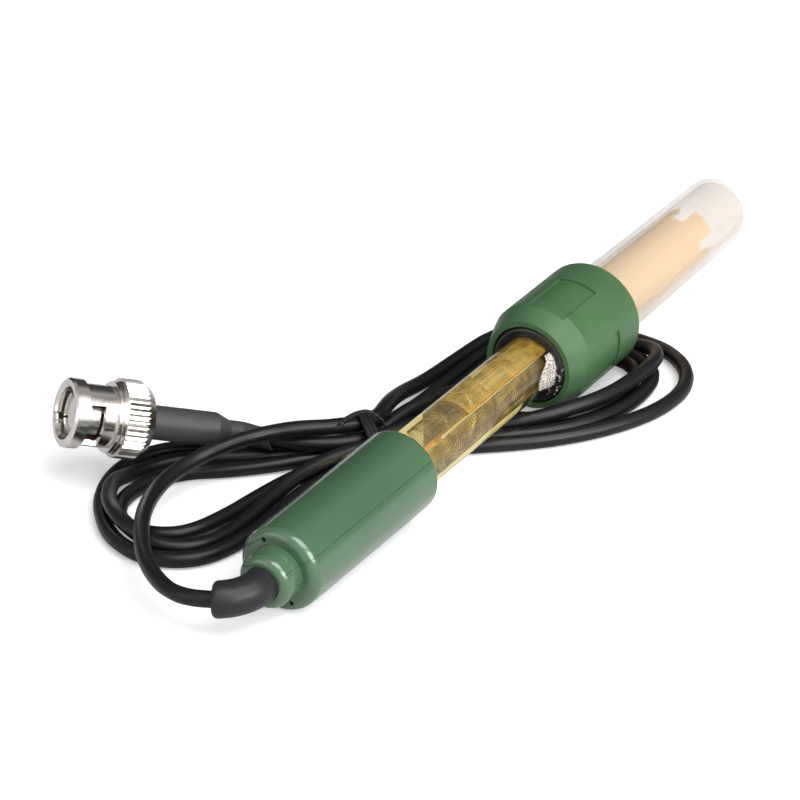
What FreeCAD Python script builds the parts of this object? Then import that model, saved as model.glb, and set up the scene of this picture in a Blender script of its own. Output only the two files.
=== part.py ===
import FreeCAD, Part
import math
import os
import Sketcher

# Combination redox electrode lying on its side, with its storage bottle on the tip,
# its coaxial cable tied in a loose coil beside it and a bayonet plug on the cable's far end.
# Two local frames are used. In the electrode frame X runs along the body, from the handle's
# front face (0) to the tip. In the plug frame X runs out of the plug's mating face (0).
# Part frame: Z up from the surface it lies on, X from the handle towards the bottle.

DRIVING_SIZES = {
    # Body tube and what is inside it
    "body_radius": 6.0,
    "body_length": 120.0,
    "body_wall": 0.9,
    "guard_slot_depth": 6.0,
    "guard_slot_width": 3.6,
    "spigot_length": 10.0,
    "socket_clearance": 0.05,
    "stem_radius": 2.6,
    "stem_bore": 0.9,
    "stem_setback": 8.0,
    "stem_root": -8.5,
    "stem_seal_length": 3.0,
    "pin_radius": 0.5,
    "pin_reach": 4.0,
    "point_share": 0.35,
    "lead_radius": 0.35,
    "lead_root": -30.0,
    "winding_clearance": 0.15,
    "winding_thickness": 0.3,
    "winding_start": 8.0,
    "winding_setback": 20.0,
    "junction_setback": 9.0,
    "junction_thickness": 3.0,
    "potting_start": -9.0,
    "potting_end": -1.0,
    "inner_clearance": 0.03,
    "label_start": 18.5,
    "label_end": 66.0,
    "label_thickness": 0.1,
    "label_first_angle": -40.0,
    "label_sweep": 175.0,
    # Handle
    "handle_length": 43.0,
    "handle_rear_radius": 8.25,
    "handle_front_radius": 8.45,
    "handle_rear_round": 1.8,
    "handle_front_round": 0.8,
    "handle_cavity_radius": 5.2,
    "handle_cavity_length": 36.0,
    "collar_radius": 5.3,
    "collar_length": 5.2,
    "collar_round": 1.6,
    "pin_hole_radius": 0.5,
    "pin_hole_depth": 1.5,
    "pin_hole_circle": 6.4,
    "pin_hole_angle": 25.0,
    # Strain relief sleeve on the handle
    "boot_radius": 3.4,
    "boot_insert": 8.0,
    "boot_straight": 1.0,
    "boot_bend_radius": 8.3,
    "boot_bend_angle": 65.0,
    "boot_end_round": 1.0,
    "cable_lead": 3.6,
    # Cable and its tie
    "cable_radius": 1.55,
    "tie_thickness": 0.55,
    "tie_width": 2.4,
    "tie_clearance": 0.12,
    # Screw cap of the storage bottle
    "cap_near": 49.6,
    "cap_length": 26.6,
    "cap_radius": 11.3,
    "cap_mouth_radius": 9.35,
    "cap_cone_length": 5.4,
    "cap_hole_radius": 8.3,
    "cap_top_thickness": 2.2,
    "cap_thread_radius": 9.15,
    "cap_rim_round": 0.5,
    "grip_depth": 0.4,
    "grip_sweep": 44.0,
    "grip_end": 17.9,
    "grip_turn": 30.5,
    # Gasket that seals the cap on the body
    "gasket_radius": 8.1,
    "gasket_flange_radius": 8.95,
    "gasket_clearance": 0.05,
    "gasket_round": 0.9,
    "seat_gap": 0.1,
    # Storage bottle
    "mouth_setback": 7.9,
    "bottle_neck_length": 13.0,
    "bottle_neck_radius": 8.15,
    "bottle_shoulder": 2.0,
    "bottle_radius": 7.95,
    "bottle_end_radius": 7.55,
    "bottle_length": 77.7,
    "bottle_wall": 1.0,
    "bottle_base": 1.2,
    "bottle_end_round": 1.8,
    # Bayonet plug, measured back from its mating face
    "ring_lip_radius": 6.7,
    "ring_lip_length": 2.7,
    "ring_barrel_radius": 6.0,
    "ring_barrel_end": 8.4,
    "ring_neck_radius": 5.75,
    "ring_neck_end": 8.8,
    "ring_flange_radius": 6.9,
    "ring_flange_end": 9.4,
    "ring_groove_radius": 6.5,
    "ring_groove_end": 9.6,
    "ring_collar_radius": 7.15,
    "ring_collar_end": 10.4,
    "knurl_radius": 7.7,
    "knurl_depth": 0.4,
    "knurl_land": 0.14,
    "knurl_end": 14.2,
    "knurl_runout": 0.7,
    "ring_rear_radius": 6.4,
    "ring_length": 16.2,
    "ring_bore": 4.9,
    "ring_chamber_radius": 5.8,
    "ring_rear_bore": 3.75,
    "mouth_chamfer": 0.4,
    "ring_play": 0.1,
    "lug_way_width": 2.2,
    "lug_way_radius": 5.65,
    "lug_slot_width": 1.2,
    "lug_slot_start": 3.1,
    "ramp_start": 4.95,
    "ramp_end": 6.2,
    "ramp_sweep": 85.0,
    "lug_seat_start": 3.3,
    "lug_seat_sweep": 35.0,
    "cut_over": 1.0,
    "contact_radius": 4.05,
    "contact_wall": 0.45,
    "contact_front": 1.5,
    "contact_slot_width": 0.5,
    "contact_slot_length": 5.8,
    "plug_flange_radius": 5.6,
    "plug_flange_front": 9.0,
    "plug_flange_thickness": 1.2,
    "plug_rear_radius": 3.65,
    "plug_rear_end": 16.3,
    "stub_radius": 2.2,
    "stub_bore": 1.2,
    "stub_end": 24.0,
    "chamber_radius": 2.5,
    "chamber_step": 9.6,
    "chamber_end": 15.2,
    "insulator_front": 6.5,
    "plug_pin_radius": 0.68,
    "plug_pin_front": 2.2,
    "plug_pin_back": 22.5,
    "plug_pin_point": 1.2,
    "face_gasket_radius": 4.85,
    "face_gasket_thickness": 1.4,
    "washer_bore": 3.8,
    "washer_radius": 5.6,
    "spring_height": 0.9,
    "spring_thickness": 0.3,
    "thrust_thickness": 0.6,
    "clip_front": 13.1,
    "clip_thickness": 0.6,
    "clip_inner": 3.3,
    "clip_outer": 4.3,
    "clip_gap": 1.6,
    "clip_clearance": 0.05,
    "ring_travel": 0.6,
    "ferrule_radius": 2.75,
    "ferrule_start": 16.5,
    "plug_boot_radius": 3.35,
    "plug_boot_start": 16.4,
    "plug_boot_shoulder": 31.0,
    "plug_boot_end": 33.8,
    "sleeve_radius": 2.15,
    "sleeve_lead": 3.2,
    "plug_heading": 142.0,
    "plug_pitch": 17.0,
    "plug_roll": -54.6,
    "plug_front_x": -23.48,
    "plug_front_y": 60.16,
    "plug_front_z": 16.4,
}

doc = FreeCAD.newDocument("redox_electrode")
sheet = doc.addObject("Spreadsheet::Sheet", "dims")
for row, (alias, value) in enumerate(DRIVING_SIZES.items(), start=1):
    sheet.set(f"A{row}", alias)
    sheet.set(f"B{row}", str(value))
    sheet.setAlias(f"B{row}", alias)

# The handle's rear edge and the cap's flange both touch the surface, which tilts the axis.
# The part frame's origin is half way along the electrode and its bottle.
KNURL_TEETH = 45
DERIVED_SIZES = {
    "stem_tip": "=body_length - stem_setback",
    "winding_end": "=body_length - winding_setback",
    "junction_end": "=body_length - junction_setback",
    "bottle_mouth": "=cap_near + mouth_setback",
    "bottle_end": "=bottle_mouth + bottle_length",
    "rest_tilt": "=asin((cap_radius - handle_rear_radius)"
                 " / (cap_near + grip_end + handle_length - handle_rear_round))",
    "axis_height": "=cap_radius * cos(rest_tilt) - (cap_near + grip_end) * sin(rest_tilt)",
    "rear_reach": "=(handle_length + collar_length - collar_round) * cos(rest_tilt)"
                  " + (collar_radius - collar_round) * sin(rest_tilt) + collar_round",
    "front_reach": "=(bottle_end - bottle_end_round) * cos(rest_tilt)"
                   " + (bottle_end_radius - bottle_end_round) * sin(rest_tilt)"
                   " + bottle_end_round",
    "centre_shift": "=(rear_reach - front_reach) / 2",
}
for row, (alias, formula) in enumerate(DERIVED_SIZES.items(), start=len(DRIVING_SIZES) + 1):
    sheet.set(f"A{row}", alias)
    sheet.set(f"B{row}", formula)
    sheet.setAlias(f"B{row}", alias)
doc.recompute()


def size(expression):
    """Value of an expression on the sheet, as a plain number."""
    return float(sheet.evalExpression(expression))


ELECTRODE_PLACE = ("placement(vector(dims.centre_shift; 0; dims.axis_height); "
                   "rotationy(-1 * dims.rest_tilt))")
CAP_PLACE = ("placement(vector(dims.centre_shift; 0; dims.axis_height); "
             "rotationy(-1 * dims.rest_tilt) * rotationx(dims.grip_turn))")
LABEL_PLACE = ("placement(vector(dims.centre_shift; 0; dims.axis_height); "
               "rotationy(-1 * dims.rest_tilt) * rotationx(dims.label_first_angle))")
PLUG_PLACE = ("placement(vector(dims.plug_front_x + dims.centre_shift; dims.plug_front_y; "
              "dims.plug_front_z); rotationz(dims.plug_heading) "
              "* rotationy(-1 * dims.plug_pitch) * rotationx(dims.plug_roll))")

sub_parts = []


def keep(piece, label, place=None):
    """Name a finished sub-part and put it where it belongs."""
    piece.Label = label
    if place:
        piece.setExpression("Placement", place)
    sub_parts.append(piece)
    return piece


def origin_plane(body, role):
    """One of the body's own origin planes or axes."""
    return next(item for item in body.Origin.OriginFeatures if item.Role == role)


def closed_sketch(body, name, role, corners, offset=None):
    """Sketch of straight sides whose every corner is held by two expressions."""
    sketch = body.newObject("Sketcher::SketchObject", name)
    sketch.AttachmentSupport = [(origin_plane(body, role), "")]
    sketch.MapMode = "FlatFace"
    if offset:
        sketch.setExpression("AttachmentOffset.Base.z", offset)
    spots = [FreeCAD.Vector(size(across), size(up), 0) for across, up in corners]
    count = len(spots)
    for index in range(count):
        sketch.addGeometry(Part.LineSegment(spots[index], spots[(index + 1) % count]), False)
    for index in range(count):
        following = (index + 1) % count
        sketch.addConstraint(Sketcher.Constraint("Coincident", index, 2, following, 1))
    for index, corner in enumerate(corners):
        for kind, expression in zip(("DistanceX", "DistanceY"), corner):
            constraint = Sketcher.Constraint(kind, -1, 1, index, 1, size(expression))
            number = sketch.addConstraint(constraint)
            sketch.setExpression(f"Constraints[{number}]", expression)
    return sketch


def turned(name, outline):
    """Body of revolution about X from corners given as (station, radius)."""
    body = doc.addObject("PartDesign::Body", name + "_body")
    sketch = closed_sketch(body, name + "_outline", "XY_Plane", outline)
    lathe = body.newObject("PartDesign::Revolution", name + "_turned")
    lathe.Profile = sketch
    lathe.ReferenceAxis = (sketch, ["H_Axis"])
    lathe.Angle = 360
    doc.recompute()
    return body


def ring_edges(feature, station, radius):
    """Names of the feature's circular edges at a station and a radius on the X axis."""
    names = []
    for number, edge in enumerate(feature.Shape.Edges, start=1):
        curve = edge.Curve
        if not isinstance(curve, Part.Circle):
            continue
        if abs(curve.Center.x - size(station)) < 1e-4 and abs(curve.Radius - size(radius)) < 1e-4:
            names.append(f"Edge{number}")
    return names


def rounded(body, station, radius, amount):
    """Round the circular edge at a station and a radius."""
    base = body.Tip
    fillet = body.newObject("PartDesign::Fillet", body.Name + "_round")
    fillet.Base = (base, ring_edges(base, station, radius))
    fillet.setExpression("Radius", amount)
    doc.recompute()
    return fillet


def pocketed(body, name, corners, start, depth, towards_tip=True):
    """Pocket of a YZ sketch that starts at a station and runs along X."""
    before = body.Shape.Volume
    sketch = closed_sketch(body, name + "_outline", "YZ_Plane", corners, start)
    pocket = body.newObject("PartDesign::Pocket", name)
    pocket.Profile = sketch
    pocket.setExpression("Length", depth)
    pocket.Reversed = towards_tip
    doc.recompute()
    if not pocket.Shape.Volume < before - 1e-6:
        raise ValueError(f"{name} cuts nothing")
    return pocket


def repeated(body, feature, name, copies, sweep=360):
    """Polar copies of a feature about the X axis."""
    pattern = body.newObject("PartDesign::PolarPattern", name)
    pattern.Originals = [feature]
    pattern.Axis = (origin_plane(body, "X_Axis"), [""])
    pattern.Angle = sweep
    pattern.Occurrences = copies
    body.Tip = pattern
    doc.recompute()
    return pattern


# Handle: a moulded grip with a collar for the strain relief
handle = turned("handle", [
    ("-dims.handle_length - dims.collar_length", "dims.boot_radius + dims.socket_clearance"),
    ("-dims.handle_length - dims.collar_length", "dims.collar_radius"),
    ("-dims.handle_length", "dims.collar_radius"),
    ("-dims.handle_length", "dims.handle_rear_radius"),
    ("0", "dims.handle_front_radius"),
    ("0", "dims.body_radius + dims.socket_clearance"),
    ("-dims.spigot_length - dims.socket_clearance", "dims.body_radius + dims.socket_clearance"),
    ("-dims.spigot_length - dims.socket_clearance", "dims.handle_cavity_radius"),
    ("-dims.handle_cavity_length", "dims.handle_cavity_radius"),
    ("-dims.handle_cavity_length", "dims.boot_radius + dims.socket_clearance"),
])
rounded(handle, "-dims.handle_length - dims.collar_length", "dims.collar_radius",
        "dims.collar_round")
rounded(handle, "-dims.handle_length", "dims.handle_rear_radius", "dims.handle_rear_round")
rounded(handle, "0", "dims.handle_front_radius", "dims.handle_front_round")


def round_hole(body, name, across, up, radius, start, depth):
    """Blind hole from a station towards the tip."""
    before = body.Shape.Volume
    sketch = body.newObject("Sketcher::SketchObject", name + "_outline")
    sketch.AttachmentSupport = [(origin_plane(body, "YZ_Plane"), "")]
    sketch.MapMode = "FlatFace"
    sketch.setExpression("AttachmentOffset.Base.z", start)
    centre = FreeCAD.Vector(size(across), size(up), 0)
    normal = FreeCAD.Vector(0, 0, 1)
    sketch.addGeometry(Part.Circle(centre, normal, size(radius)), False)
    for kind, expression in (("DistanceX", across), ("DistanceY", up)):
        held = Sketcher.Constraint(kind, -1, 1, 0, 3, size(expression))
        number = sketch.addConstraint(held)
        sketch.setExpression(f"Constraints[{number}]", expression)
    number = sketch.addConstraint(Sketcher.Constraint("Radius", 0, size(radius)))
    sketch.setExpression(f"Constraints[{number}]", radius)
    pocket = body.newObject("PartDesign::Pocket", name)
    pocket.Profile = sketch
    pocket.setExpression("Length", depth)
    pocket.Reversed = True
    doc.recompute()
    if not pocket.Shape.Volume < before - 1e-6:
        raise ValueError(f"{name} cuts nothing")
    return pocket


pin_hole = round_hole(handle, "pin_hole", "dims.pin_hole_circle * sin(dims.pin_hole_angle)",
                      "dims.pin_hole_circle * cos(dims.pin_hole_angle)", "dims.pin_hole_radius",
                      "-dims.handle_length", "dims.pin_hole_depth")
repeated(handle, pin_hole, "pin_holes", 2)
keep(handle, "handle", ELECTRODE_PLACE)

# Body tube with four guard prongs round the tip
body_tube = turned("body_tube", [
    ("-dims.spigot_length", "dims.body_radius - dims.body_wall"),
    ("-dims.spigot_length", "dims.body_radius"),
    ("dims.body_length", "dims.body_radius"),
    ("dims.body_length", "dims.body_radius - dims.body_wall"),
])
guard_slot = pocketed(body_tube, "guard_slot", [
    ("-dims.guard_slot_width / 2", "-dims.body_radius - dims.cut_over"),
    ("dims.guard_slot_width / 2", "-dims.body_radius - dims.cut_over"),
    ("dims.guard_slot_width / 2", "dims.body_radius + dims.cut_over"),
    ("-dims.guard_slot_width / 2", "dims.body_radius + dims.cut_over"),
], "dims.body_length", "dims.guard_slot_depth", towards_tip=False)
repeated(body_tube, guard_slot, "guard_slots", 2, 90)
keep(body_tube, "body_tube", ELECTRODE_PLACE)

# Glass stem with the platinum pin sealed in its end
stem = turned("sensor_stem", [
    ("dims.stem_root", "dims.stem_bore"),
    ("dims.stem_root", "dims.stem_radius"),
    ("dims.stem_tip", "dims.stem_radius"),
    ("dims.stem_tip", "dims.pin_radius"),
    ("dims.stem_tip - dims.stem_seal_length", "dims.pin_radius"),
    ("dims.stem_tip - dims.stem_seal_length", "dims.stem_bore"),
])
keep(stem, "sensor_stem", ELECTRODE_PLACE)


def solid_rod(name, start, end, radius, front_point=None):
    """Plain round rod on the X axis, with a cone on its front end if asked."""
    corners = [(start, "0"), (start, radius)]
    if front_point:
        corners += [(f"{end} - {front_point}", radius), (end, f"{radius} * dims.point_share")]
    else:
        corners += [(end, radius)]
    corners += [(end, "0")]
    return turned(name, corners)


def plain_tube(name, start, end, inner, outer):
    """Plain round tube on the X axis."""
    return turned(name, [(start, inner), (start, outer), (end, outer), (end, inner)])


PIN_BACK = "dims.stem_tip - dims.stem_seal_length"
platinum_pin = solid_rod("platinum_pin", PIN_BACK, "dims.stem_tip + dims.pin_reach",
                         "dims.pin_radius", "dims.pin_radius")
keep(platinum_pin, "platinum_pin", ELECTRODE_PLACE)
sensor_lead = solid_rod("sensor_lead", "dims.lead_root", PIN_BACK, "dims.lead_radius")
keep(sensor_lead, "sensor_lead", ELECTRODE_PLACE)

BORE_FIT = "dims.body_radius - dims.body_wall - dims.inner_clearance"
STEM_FIT = "dims.stem_radius + dims.inner_clearance"
winding = plain_tube("reference_winding", "dims.winding_start", "dims.winding_end",
                     "dims.stem_radius + dims.winding_clearance",
                     "dims.stem_radius + dims.winding_clearance + dims.winding_thickness")
keep(winding, "reference_winding", ELECTRODE_PLACE)
junction = plain_tube("porous_junction", "dims.junction_end - dims.junction_thickness",
                      "dims.junction_end", STEM_FIT, BORE_FIT)
keep(junction, "porous_junction", ELECTRODE_PLACE)
potting = plain_tube("potting_plug", "dims.potting_start", "dims.potting_end", STEM_FIT, BORE_FIT)
keep(potting, "potting_plug", ELECTRODE_PLACE)

# Label film curled against the inside of the body tube
label_body = doc.addObject("PartDesign::Body", "label_film_body")
label_outline = closed_sketch(label_body, "label_film_outline", "XZ_Plane", [
    ("dims.label_start", BORE_FIT + " - dims.label_thickness"),
    ("dims.label_start", BORE_FIT),
    ("dims.label_end", BORE_FIT),
    ("dims.label_end", BORE_FIT + " - dims.label_thickness"),
])
label_curl = label_body.newObject("PartDesign::Revolution", "label_film_curl")
label_curl.Profile = label_outline
label_curl.ReferenceAxis = (label_outline, ["H_Axis"])
label_curl.setExpression("Angle", "dims.label_sweep")
doc.recompute()
keep(label_body, "label_film", LABEL_PLACE)

# Screw cap with four shallow grip panels, a coned mouth and a plain rim
CAP_END = "dims.cap_near + dims.cap_length"
cap = turned("bottle_cap", [
    ("dims.cap_near", "dims.cap_hole_radius"),
    ("dims.cap_near", "dims.cap_mouth_radius"),
    ("dims.cap_near + dims.cap_cone_length", "dims.cap_radius"),
    (CAP_END, "dims.cap_radius"),
    (CAP_END, "dims.cap_thread_radius"),
    ("dims.cap_near + dims.cap_top_thickness", "dims.cap_thread_radius"),
    ("dims.cap_near + dims.cap_top_thickness", "dims.cap_hole_radius"),
])
rounded(cap, CAP_END, "dims.cap_radius", "dims.cap_rim_round")
grip_outline = closed_sketch(cap, "grip_outline", "XZ_Plane", [
    ("dims.cap_near", "dims.cap_radius - dims.grip_depth"),
    ("dims.cap_near + dims.grip_end", "dims.cap_radius - dims.grip_depth"),
    ("dims.cap_near + dims.grip_end", "dims.cap_radius + dims.cut_over"),
    ("dims.cap_near", "dims.cap_radius + dims.cut_over"),
])
grip = cap.newObject("PartDesign::Groove", "grip_panel")
grip.Profile = grip_outline
grip.ReferenceAxis = (grip_outline, ["H_Axis"])
grip.setExpression("Angle", "dims.grip_sweep")
grip.Reversed = True
doc.recompute()
repeated(cap, grip, "grip_panels", 4)
keep(cap, "bottle_cap", CAP_PLACE)

# Rubber gasket, a flanged bush that grips the body tube
GASKET_FLANGE = "dims.cap_near + dims.cap_top_thickness + dims.seat_gap"
gasket = turned("bottle_gasket", [
    ("dims.cap_near", "dims.body_radius + dims.gasket_clearance"),
    ("dims.cap_near", "dims.gasket_radius"),
    (GASKET_FLANGE, "dims.gasket_radius"),
    (GASKET_FLANGE, "dims.gasket_flange_radius"),
    ("dims.bottle_mouth - dims.seat_gap", "dims.gasket_flange_radius"),
    ("dims.bottle_mouth - dims.seat_gap", "dims.body_radius + dims.gasket_clearance"),
])
rounded(gasket, "dims.cap_near", "dims.gasket_radius", "dims.gasket_round")
keep(gasket, "bottle_gasket", ELECTRODE_PLACE)

# Storage bottle with a short threaded neck and a slightly drafted wall
SHOULDER = "dims.bottle_mouth + dims.bottle_neck_length"
bottle = turned("bottle", [
    ("dims.bottle_mouth", "dims.bottle_radius - dims.bottle_wall"),
    ("dims.bottle_mouth", "dims.bottle_neck_radius"),
    (SHOULDER, "dims.bottle_neck_radius"),
    (SHOULDER + " + dims.bottle_shoulder", "dims.bottle_radius"),
    ("dims.bottle_end", "dims.bottle_end_radius"),
    ("dims.bottle_end", "0"),
    ("dims.bottle_end - dims.bottle_base", "0"),
    ("dims.bottle_end - dims.bottle_base", "dims.bottle_end_radius - dims.bottle_wall"),
])
rounded(bottle, "dims.bottle_end", "dims.bottle_end_radius", "dims.bottle_end_round")
keep(bottle, "bottle", ELECTRODE_PLACE)

# Coupling ring of the bayonet plug. The plug's inner parts are set one behind the other:
# flange, spring washer, thrust washer, the ring's inner wall, and the clip behind it.
FLANGE_BACK = "-dims.plug_flange_front - dims.plug_flange_thickness"
THRUST_FRONT = FLANGE_BACK + " - dims.spring_height"
RING_WALL = THRUST_FRONT + " - dims.thrust_thickness - dims.ring_play"
CHAMBER_FRONT = "-dims.plug_flange_front + dims.ring_play"
CLIP_SPACE = "dims.clip_outer + 2 * dims.clip_clearance"
CLIP_SPACE_FRONT = "-dims.clip_front + dims.clip_clearance"
CLIP_SPACE_BACK = "-dims.clip_front - dims.clip_thickness - dims.ring_travel - dims.clip_clearance"
ring = turned("coupling_ring", [
    ("0", "dims.ring_bore + dims.mouth_chamfer"),
    ("0", "dims.ring_lip_radius - dims.mouth_chamfer"),
    ("-dims.mouth_chamfer", "dims.ring_lip_radius"),
    ("-dims.ring_lip_length", "dims.ring_lip_radius"),
    ("-dims.ring_lip_length", "dims.ring_barrel_radius"),
    ("-dims.ring_barrel_end", "dims.ring_barrel_radius"),
    ("-dims.ring_barrel_end", "dims.ring_neck_radius"),
    ("-dims.ring_neck_end", "dims.ring_neck_radius"),
    ("-dims.ring_neck_end", "dims.ring_flange_radius"),
    ("-dims.ring_flange_end", "dims.ring_flange_radius"),
    ("-dims.ring_flange_end", "dims.ring_groove_radius"),
    ("-dims.ring_groove_end", "dims.ring_groove_radius"),
    ("-dims.ring_groove_end", "dims.ring_collar_radius"),
    ("-dims.ring_collar_end", "dims.ring_collar_radius"),
    ("-dims.ring_collar_end", "dims.knurl_radius"),
    ("-dims.knurl_end", "dims.knurl_radius"),
    ("-dims.ring_length", "dims.ring_rear_radius"),
    ("-dims.ring_length", "dims.ring_rear_bore"),
    (CLIP_SPACE_BACK, "dims.ring_rear_bore"),
    (CLIP_SPACE_BACK, CLIP_SPACE),
    (CLIP_SPACE_FRONT, CLIP_SPACE),
    (CLIP_SPACE_FRONT, "dims.ring_rear_bore"),
    (RING_WALL, "dims.ring_rear_bore"),
    (RING_WALL, "dims.ring_chamber_radius"),
    (CHAMBER_FRONT, "dims.ring_chamber_radius"),
    (CHAMBER_FRONT, "dims.ring_bore"),
    ("-dims.mouth_chamfer", "dims.ring_bore"),
])
# Way in for each of the socket's two lugs: a groove in the bore from the mouth, which a
# narrower slot opens through the barrel
lug_way = pocketed(ring, "lug_way", [
    ("-dims.lug_way_width / 2", "dims.ring_bore - dims.cut_over"),
    ("dims.lug_way_width / 2", "dims.ring_bore - dims.cut_over"),
    ("dims.lug_way_width / 2", "dims.lug_way_radius"),
    ("-dims.lug_way_width / 2", "dims.lug_way_radius"),
], "0", "dims.ramp_end", towards_tip=False)
repeated(ring, lug_way, "lug_ways", 2)
lug_slot = pocketed(ring, "lug_slot", [
    ("-dims.lug_slot_width / 2", "dims.ring_bore - dims.cut_over"),
    ("dims.lug_slot_width / 2", "dims.ring_bore - dims.cut_over"),
    ("dims.lug_slot_width / 2", "dims.ring_barrel_radius + dims.cut_over"),
    ("-dims.lug_slot_width / 2", "dims.ring_barrel_radius + dims.cut_over"),
], "-dims.lug_slot_start", "dims.ramp_end - dims.lug_slot_start", towards_tip=False)
repeated(ring, lug_slot, "lug_slots", 2)


def swept_slot(body, name, front, back, begin, sweep):
    """Slot through the barrel, swept round X from an angle; the lug locks clockwise."""
    before = body.Shape.Volume
    sketch = closed_sketch(body, name + "_outline", "XZ_Plane", [
        (back, "dims.ring_bore - dims.cut_over"),
        (front, "dims.ring_bore - dims.cut_over"),
        (front, "dims.ring_barrel_radius + dims.cut_over"),
        (back, "dims.ring_barrel_radius + dims.cut_over"),
    ])
    turn = FreeCAD.Rotation(FreeCAD.Vector(-1, 0, 0), size(begin) + 1)
    sketch.AttachmentOffset = FreeCAD.Placement(FreeCAD.Vector(), turn)
    sketch.setExpression("AttachmentOffset.Rotation.Angle", begin)
    doc.recompute()
    groove = body.newObject("PartDesign::Groove", name)
    groove.Profile = sketch
    groove.ReferenceAxis = (sketch, ["H_Axis"])
    groove.setExpression("Angle", sweep)
    groove.Reversed = True
    doc.recompute()
    if not groove.Shape.Volume < before - 1e-6:
        raise ValueError(f"{name} cuts nothing")
    return groove


# Ramp that draws the lug in, and the wider seat that it snaps into at the ramp's end
ramp = swept_slot(ring, "ramp_slot", "-dims.ramp_start", "-dims.ramp_end", "0", "dims.ramp_sweep")
repeated(ring, ramp, "ramp_slots", 2)
seat = swept_slot(ring, "lug_seat", "-dims.lug_seat_start", "-dims.ramp_end",
                  "dims.ramp_sweep - dims.lug_seat_sweep", "dims.lug_seat_sweep")
repeated(ring, seat, "lug_seats", 2)
# Straight knurl: a V groove between each tooth and the next, run out on the rear cone
TOOTH_ANGLE = f"(360 / {KNURL_TEETH})"
HALF_GROOVE = f"(dims.knurl_radius * tan({TOOTH_ANGLE} / 2) - dims.knurl_land / 2)"
knurl_groove = pocketed(ring, "knurl_groove", [
    ("0", "dims.knurl_radius - dims.knurl_depth"),
    (HALF_GROOVE + " * 2", "dims.knurl_radius + dims.knurl_depth"),
    ("-1 * " + HALF_GROOVE + " * 2", "dims.knurl_radius + dims.knurl_depth"),
], "-dims.ring_collar_end", "dims.knurl_end - dims.ring_collar_end + dims.knurl_runout",
    towards_tip=False)
repeated(ring, knurl_groove, "knurl_grooves", KNURL_TEETH)
keep(ring, "coupling_ring", PLUG_PLACE)

# Plug body: slotted outer contact, flange, and the stub that the cable's braid is crimped to
CLIP_FLOOR = "dims.clip_inner - dims.clip_clearance"
plug_body = turned("plug_body", [
    ("-dims.contact_front", "dims.contact_radius - dims.contact_wall"),
    ("-dims.contact_front", "dims.contact_radius"),
    ("-dims.plug_flange_front", "dims.contact_radius"),
    ("-dims.plug_flange_front", "dims.plug_flange_radius"),
    (FLANGE_BACK, "dims.plug_flange_radius"),
    (FLANGE_BACK, "dims.plug_rear_radius"),
    ("-dims.clip_front + dims.clip_clearance", "dims.plug_rear_radius"),
    ("-dims.clip_front + dims.clip_clearance", CLIP_FLOOR),
    ("-dims.clip_front - dims.clip_thickness - dims.clip_clearance", CLIP_FLOOR),
    ("-dims.clip_front - dims.clip_thickness - dims.clip_clearance", "dims.plug_rear_radius"),
    ("-dims.plug_rear_end", "dims.plug_rear_radius"),
    ("-dims.plug_rear_end", "dims.stub_radius"),
    ("-dims.stub_end", "dims.stub_radius"),
    ("-dims.stub_end", "dims.stub_bore"),
    ("-dims.chamber_end", "dims.stub_bore"),
    ("-dims.chamber_end", "dims.chamber_radius"),
    ("-dims.chamber_step", "dims.chamber_radius"),
    ("-dims.chamber_step", "dims.contact_radius - dims.contact_wall"),
])
contact_slot = pocketed(plug_body, "contact_slot", [
    ("-dims.contact_slot_width / 2", "-dims.contact_radius - dims.cut_over"),
    ("dims.contact_slot_width / 2", "-dims.contact_radius - dims.cut_over"),
    ("dims.contact_slot_width / 2", "dims.contact_radius + dims.cut_over"),
    ("-dims.contact_slot_width / 2", "dims.contact_radius + dims.cut_over"),
], "-dims.contact_front", "dims.contact_slot_length", towards_tip=False)
repeated(plug_body, contact_slot, "contact_slots", 2, 90)
keep(plug_body, "plug_body", PLUG_PLACE)

INSULATOR_FIT = "dims.contact_radius - dims.contact_wall - dims.inner_clearance"
CHAMBER_FIT = "dims.chamber_radius - dims.inner_clearance"
PIN_FIT = "dims.plug_pin_radius + dims.inner_clearance"
insulator = turned("plug_insulator", [
    ("-dims.insulator_front", PIN_FIT),
    ("-dims.insulator_front", INSULATOR_FIT),
    ("-dims.chamber_step + dims.socket_clearance", INSULATOR_FIT),
    ("-dims.chamber_step + dims.socket_clearance", CHAMBER_FIT),
    ("-dims.chamber_end + dims.socket_clearance", CHAMBER_FIT),
    ("-dims.chamber_end + dims.socket_clearance", PIN_FIT),
])
keep(insulator, "plug_insulator", PLUG_PLACE)
plug_pin = solid_rod("plug_pin", "-dims.plug_pin_back", "-dims.plug_pin_front",
                     "dims.plug_pin_radius", "dims.plug_pin_point")
keep(plug_pin, "plug_pin", PLUG_PLACE)
face_gasket = plain_tube("plug_gasket", "-dims.plug_flange_front",
                         "-dims.plug_flange_front + dims.face_gasket_thickness",
                         "dims.contact_radius + dims.inner_clearance",
                         "dims.face_gasket_radius - dims.inner_clearance")
keep(face_gasket, "plug_gasket", PLUG_PLACE)

# Conical spring washer between the plug body's flange and the thrust washer
spring = turned("spring_washer", [
    (FLANGE_BACK, "dims.washer_bore"),
    (FLANGE_BACK + " - dims.spring_height + dims.spring_thickness", "dims.washer_radius"),
    (FLANGE_BACK + " - dims.spring_height", "dims.washer_radius"),
    (FLANGE_BACK + " - dims.spring_thickness", "dims.washer_bore"),
])
keep(spring, "spring_washer", PLUG_PLACE)
thrust = plain_tube("thrust_washer", THRUST_FRONT + " - dims.thrust_thickness", THRUST_FRONT,
                    "dims.washer_bore", "dims.washer_radius")
keep(thrust, "thrust_washer", PLUG_PLACE)

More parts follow.
